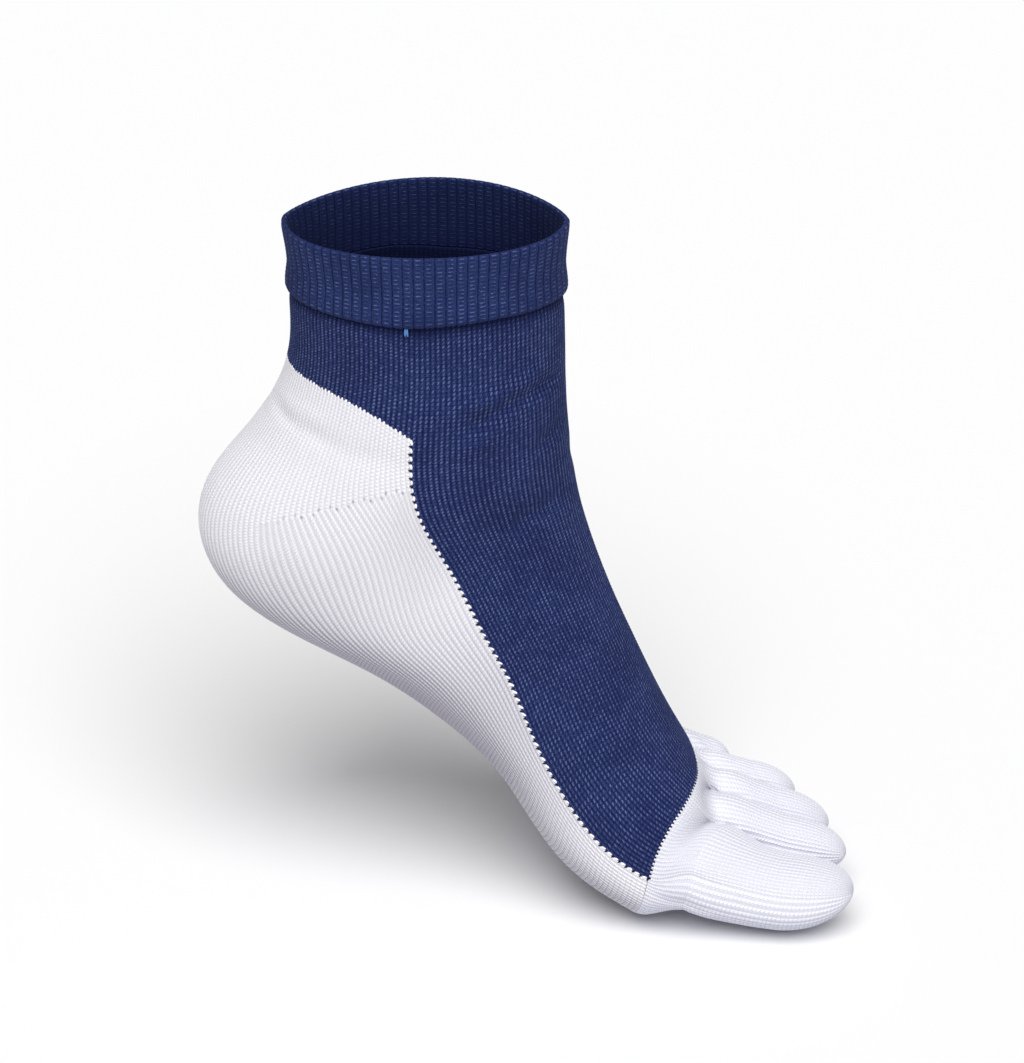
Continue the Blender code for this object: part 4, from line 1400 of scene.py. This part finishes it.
@dataclass
class Seams:
    """The toothed edges where navy and white interlock."""

    form: SockForm
    pitch: float = 2.7
    heel_wales: int = 45
    knob_shift: float = 0.0010
    notch_shift: float = 0.0002
    heel_bead_rise: float = 0.006
    toe_bead_drop: float = 0.012

    def _run(self, place: Grid, share: Grid, bead: Bead, hand: int = 1) -> tuple[Grid, Grid, Grid]:
        """Points along a line on the sock, with the directions of their stitches.

        Args:
            place: Section numbers.
            share: Shares of the way round.
            bead: The stitch, with its height above the surface and its angle from the way down the sock.
            hand: 1 for the inner seam and -1 for the outer one.

        Returns:
            Points, normals and stitch directions.
        """
        down, normals = self.form.onward(place, share)
        across = np.cross(normals, down)
        along = down * cos(hand * bead.turn) + across * sin(hand * bead.turn)
        return self.form.at(place, share) + normals * bead.lift, normals, along

    def _even(self, start: float, end: float, hand: int) -> tuple[Grid, Grid]:
        """Places along a side seam, evenly by length.

        Args:
            start: Section number of its upper end.
            end: Section number of its lower end.
            hand: 1 for the inner seam and -1 for the outer one.

        Returns:
            Section numbers of the knobs, and of the notches between them.
        """
        place = np.linspace(start, end, 400)
        steps = np.diff(self.form.at(place, hand * self.form.seam(place)), axis=0)
        walk = np.concatenate([[0], np.cumsum(np.linalg.norm(steps, axis=1))])
        at = np.arange(self.pitch / 4, walk[-1], self.pitch)
        return np.interp(at, walk, place), np.interp(at + self.pitch / 2, walk, place)

    def build(self) -> list[bpy.types.Object]:
        """Make the side seams' knobs and notches, the heel's upper edge and the navy edge at the toes."""
        form = self.form
        side = form.heel_top(1.0)
        end = form.toe_line(form.seam(float(LAST)))
        pieces = []
        for hand, name in ((1, "inner"), (-1, "outer")):
            knobs, notches = self._even(side, end, hand)
            share = hand * (form.seam(knobs) - self.knob_shift)
            pieces.append(SeamStitches(f"{name}_seam_knobs", Yarn.WHITE,
                                       *self._run(knobs, share, KNOB, hand), KNOB, seed=3).build())
            share = hand * (form.seam(notches) + self.notch_shift)
            pieces.append(SeamStitches(f"{name}_seam_notches", Yarn.NAVY,
                                       *self._run(notches, share, NOTCH, hand), NOTCH,
                                       sunk=True, seed=5).build())
        wale = np.linspace(1, -1, 2 * self.heel_wales + 1)
        wale = (wale[1:] + wale[:-1]) / 2
        place = form.heel_top(wale) - self.heel_bead_rise
        pieces.append(SeamStitches("heel_edge_beads", Yarn.WHITE,
                                   *self._run(place, form.back_share(place, wale), HEEL_BEAD), HEEL_BEAD,
                                   seed=9).build())
        wale = np.linspace(1, -1, 2 * form.half_wales + 1)
        share = -(wale[1:] + wale[:-1]) / 2 * form.seam(end)
        place = form.toe_line(share) + self.toe_bead_drop
        pieces.append(SeamStitches("toe_edge_beads", Yarn.NAVY, *self._run(place, share, TOE_BEAD), TOE_BEAD,
                                   sunk=True, seed=11).build())
        return pieces


@dataclass
class ThreadTick:
    """Two short ends of bright thread that show under the cuff at the inner side."""

    form: SockForm
    place: float = 1.81
    share: float = 0.2600
    length: float = 2.9
    radius: float = 0.34
    gap: float = 0.33
    sides: int = 8
    steps: int = 9

    def build(self) -> bpy.types.Object:
        """Make the thread ends as bent, tapered tubes."""
        sides, steps = self.sides, self.steps
        down, normal = self.form.onward(np.array([self.place]), np.array([self.share]))
        down, normal = down[0], normal[0]
        across = np.cross(normal, down)
        start = self.form.at(np.array([self.place]), np.array([self.share]))[0]
        vertices, faces = [], []
        for hand in (-1, 1):
            base = len(vertices)
            for i in range(steps):
                u = i / (steps - 1)
                middle = start + down * self.length * (u - 0.35) + across * hand * self.gap * (0.7 + 0.5 * u)
                middle = middle + normal * (0.35 + 0.35 * sin(pi * u))
                thick = self.radius * (sin(pi * min(max(u, 0.06), 0.94)) ** 0.35)
                for k in range(sides):
                    turn = 2 * pi * k / sides
                    vertices.append((middle + thick * (cos(turn) * across + sin(turn) * normal)) * MM)
            for i in range(steps - 1):
                for k in range(sides):
                    after = (k + 1) % sides
                    faces.append((base + i * sides + k, base + i * sides + after,
                                  base + (i + 1) * sides + after, base + (i + 1) * sides + k))
            faces.append(tuple(base + k for k in reversed(range(sides))))
            faces.append(tuple(base + (steps - 1) * sides + k for k in range(sides)))
        mesh = bpy.data.meshes.new("thread_tick")
        mesh.from_pydata([tuple(vertex) for vertex in vertices], [], faces)
        mesh.validate()
        mesh.shade_smooth()
        return new_object("thread_tick", mesh, Yarn.BLUE)


@dataclass
class Studio:
    """A pale floor, soft light and the camera at the photograph's angle."""

    azimuth: float = 5.89
    elevation: float = 27.92
    roll: float = 0.54
    distance: float = 1.496
    focal_pixels: float = 4874.0
    image: tuple[int, int] = (1024, 1063)
    aim: tuple[float, float] = (0.0266, -0.0952)
    sensor: float = 36.0
    floor_size: float = 9.0
    floor_gap: float = 0.0015
    key_from: tuple[float, float, float] = (0.10, -0.58, 1.0)
    key_angle: float = 50.0
    key_strength: float = 3.2
    room_strength: float = 0.25
    floor_colour: tuple[float, float, float, float] = (0.88, 0.88, 0.885, 1)

    def build(self) -> None:
        """Make the floor, the lights and the camera."""
        self._floor()
        self._lights()
        self._camera()

    def _floor(self) -> None:
        """Lay the floor just under the sock."""
        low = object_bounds()[0][2] - self.floor_gap
        half = self.floor_size / 2
        mesh = bpy.data.meshes.new("floor")
        mesh.from_pydata([(-half, -half, low), (half, -half, low), (half, half, low), (-half, half, low)], [],
                         [(0, 1, 2, 3)])
        material = bpy.data.materials.new("floor_paint")
        material.use_nodes = True
        shader = material.node_tree.nodes["Principled BSDF"]
        shader.inputs["Base Color"].default_value = self.floor_colour
        shader.inputs["Roughness"].default_value = 0.9
        shader.inputs["Specular IOR Level"].default_value = 0.1
        mesh.materials.append(material)
        floor = bpy.data.objects.new("floor", mesh)
        bpy.context.scene.collection.objects.link(floor)
        floor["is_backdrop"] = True

    def _lights(self) -> None:
        """Light the sock softly from above and in front, in an even white room."""
        world = bpy.data.worlds.new("room")
        world.use_nodes = True
        background = world.node_tree.nodes["Background"]
        background.inputs[0].default_value = (1.0, 1.0, 1.0, 1)
        background.inputs[1].default_value = self.room_strength
        bpy.context.scene.world = world
        lamp = bpy.data.lights.new("key", "SUN")
        lamp.angle = radians(self.key_angle)
        lamp.energy = self.key_strength
        held = bpy.data.objects.new("key", lamp)
        bpy.context.scene.collection.objects.link(held)
        held.matrix_world = Vector(self.key_from).to_track_quat("Z", "Y").to_matrix().to_4x4()

    def _camera(self) -> None:
        """Stand the camera where the photograph was taken from."""
        az, el, roll = (radians(angle) for angle in (self.azimuth, self.elevation, self.roll))
        back = Vector((sin(az) * cos(el), -cos(az) * cos(el), sin(el)))
        level = Vector((cos(az), sin(az), 0))
        rise = Vector((-sin(az) * sin(el), cos(az) * sin(el), cos(el)))
        stand = level * self.aim[0] + rise * self.aim[1] + back * self.distance
        right = level * cos(roll) + rise * sin(roll)
        up = rise * cos(roll) - level * sin(roll)
        eye = bpy.data.cameras.new("camera")
        eye.sensor_width = self.sensor
        eye.lens = self.focal_pixels * self.sensor / max(self.image)
        camera = bpy.data.objects.new("camera", eye)
        bpy.context.scene.collection.objects.link(camera)
        turn = Matrix((right, up, back)).transposed().to_4x4()
        camera.matrix_world = Matrix.Translation(stand) @ turn
        bpy.context.scene.camera = camera


NAVY_COLOURS = ((0.0165, 0.0295, 0.120, 1), (0.190, 0.240, 0.480, 1), (0.003, 0.006, 0.042, 1))
FINISHES = (
    YarnFinish(Yarn.NAVY, *NAVY_COLOURS, fleck=0.52, scatter=0.85, gap_depth=1.0, mottle=0.25, evenly=1.0),
    YarnFinish(Yarn.NAVY, (0.0145, 0.027, 0.106, 1), *NAVY_COLOURS[1:], fleck=0.38, scatter=0.9,
               gap_depth=0.9, mottle=0.25, evenly=1.0, stitch=Stitch.MOCK_RIB),
    YarnFinish(Yarn.WHITE, (0.91, 0.90, 0.95, 1), (0.98, 0.97, 1.0, 1), (0.30, 0.285, 0.355, 1),
               fleck=0.8, scatter=0.3, gap_depth=0.46, mottle=0.03, evenly=0.36, sheen=0.05, loop_height=0.3),
    YarnFinish(Yarn.TOE_WHITE, (0.83, 0.83, 0.90, 1), (0.94, 0.94, 0.98, 1), (0.36, 0.37, 0.53, 1),
               fleck=0.8, scatter=0.3, gap_depth=0.48, mottle=0.03, evenly=0.28, sheen=0.05, loop_height=0.3),
)


def main() -> None:
    """Build the sock's finishes and pieces, then the studio."""
    logging.basicConfig(level=logging.INFO, format="%(message)s")
    for finish in (*FINISHES, ThreadFinish()):
        finish.build()
    form = SockForm()
    built: list[bpy.types.Object] = [Cuff(form).build()]
    built += Leg(form).build()
    built += Foot(form).build()
    built += ToeBox(form).build()
    built += Seams(form).build()
    built.append(ThreadTick(form).build())
    total = 0
    for piece in built:
        piece.data.calc_loop_triangles()
        triangles = len(piece.data.loop_triangles)
        total += triangles
        log.info("%s: %d triangles", piece.name, triangles)
    log.info("all pieces: %d triangles", total)
    Studio().build()
    bpy.context.scene.view_settings.view_transform = "Standard"


if __name__ == "__main__":
    main()
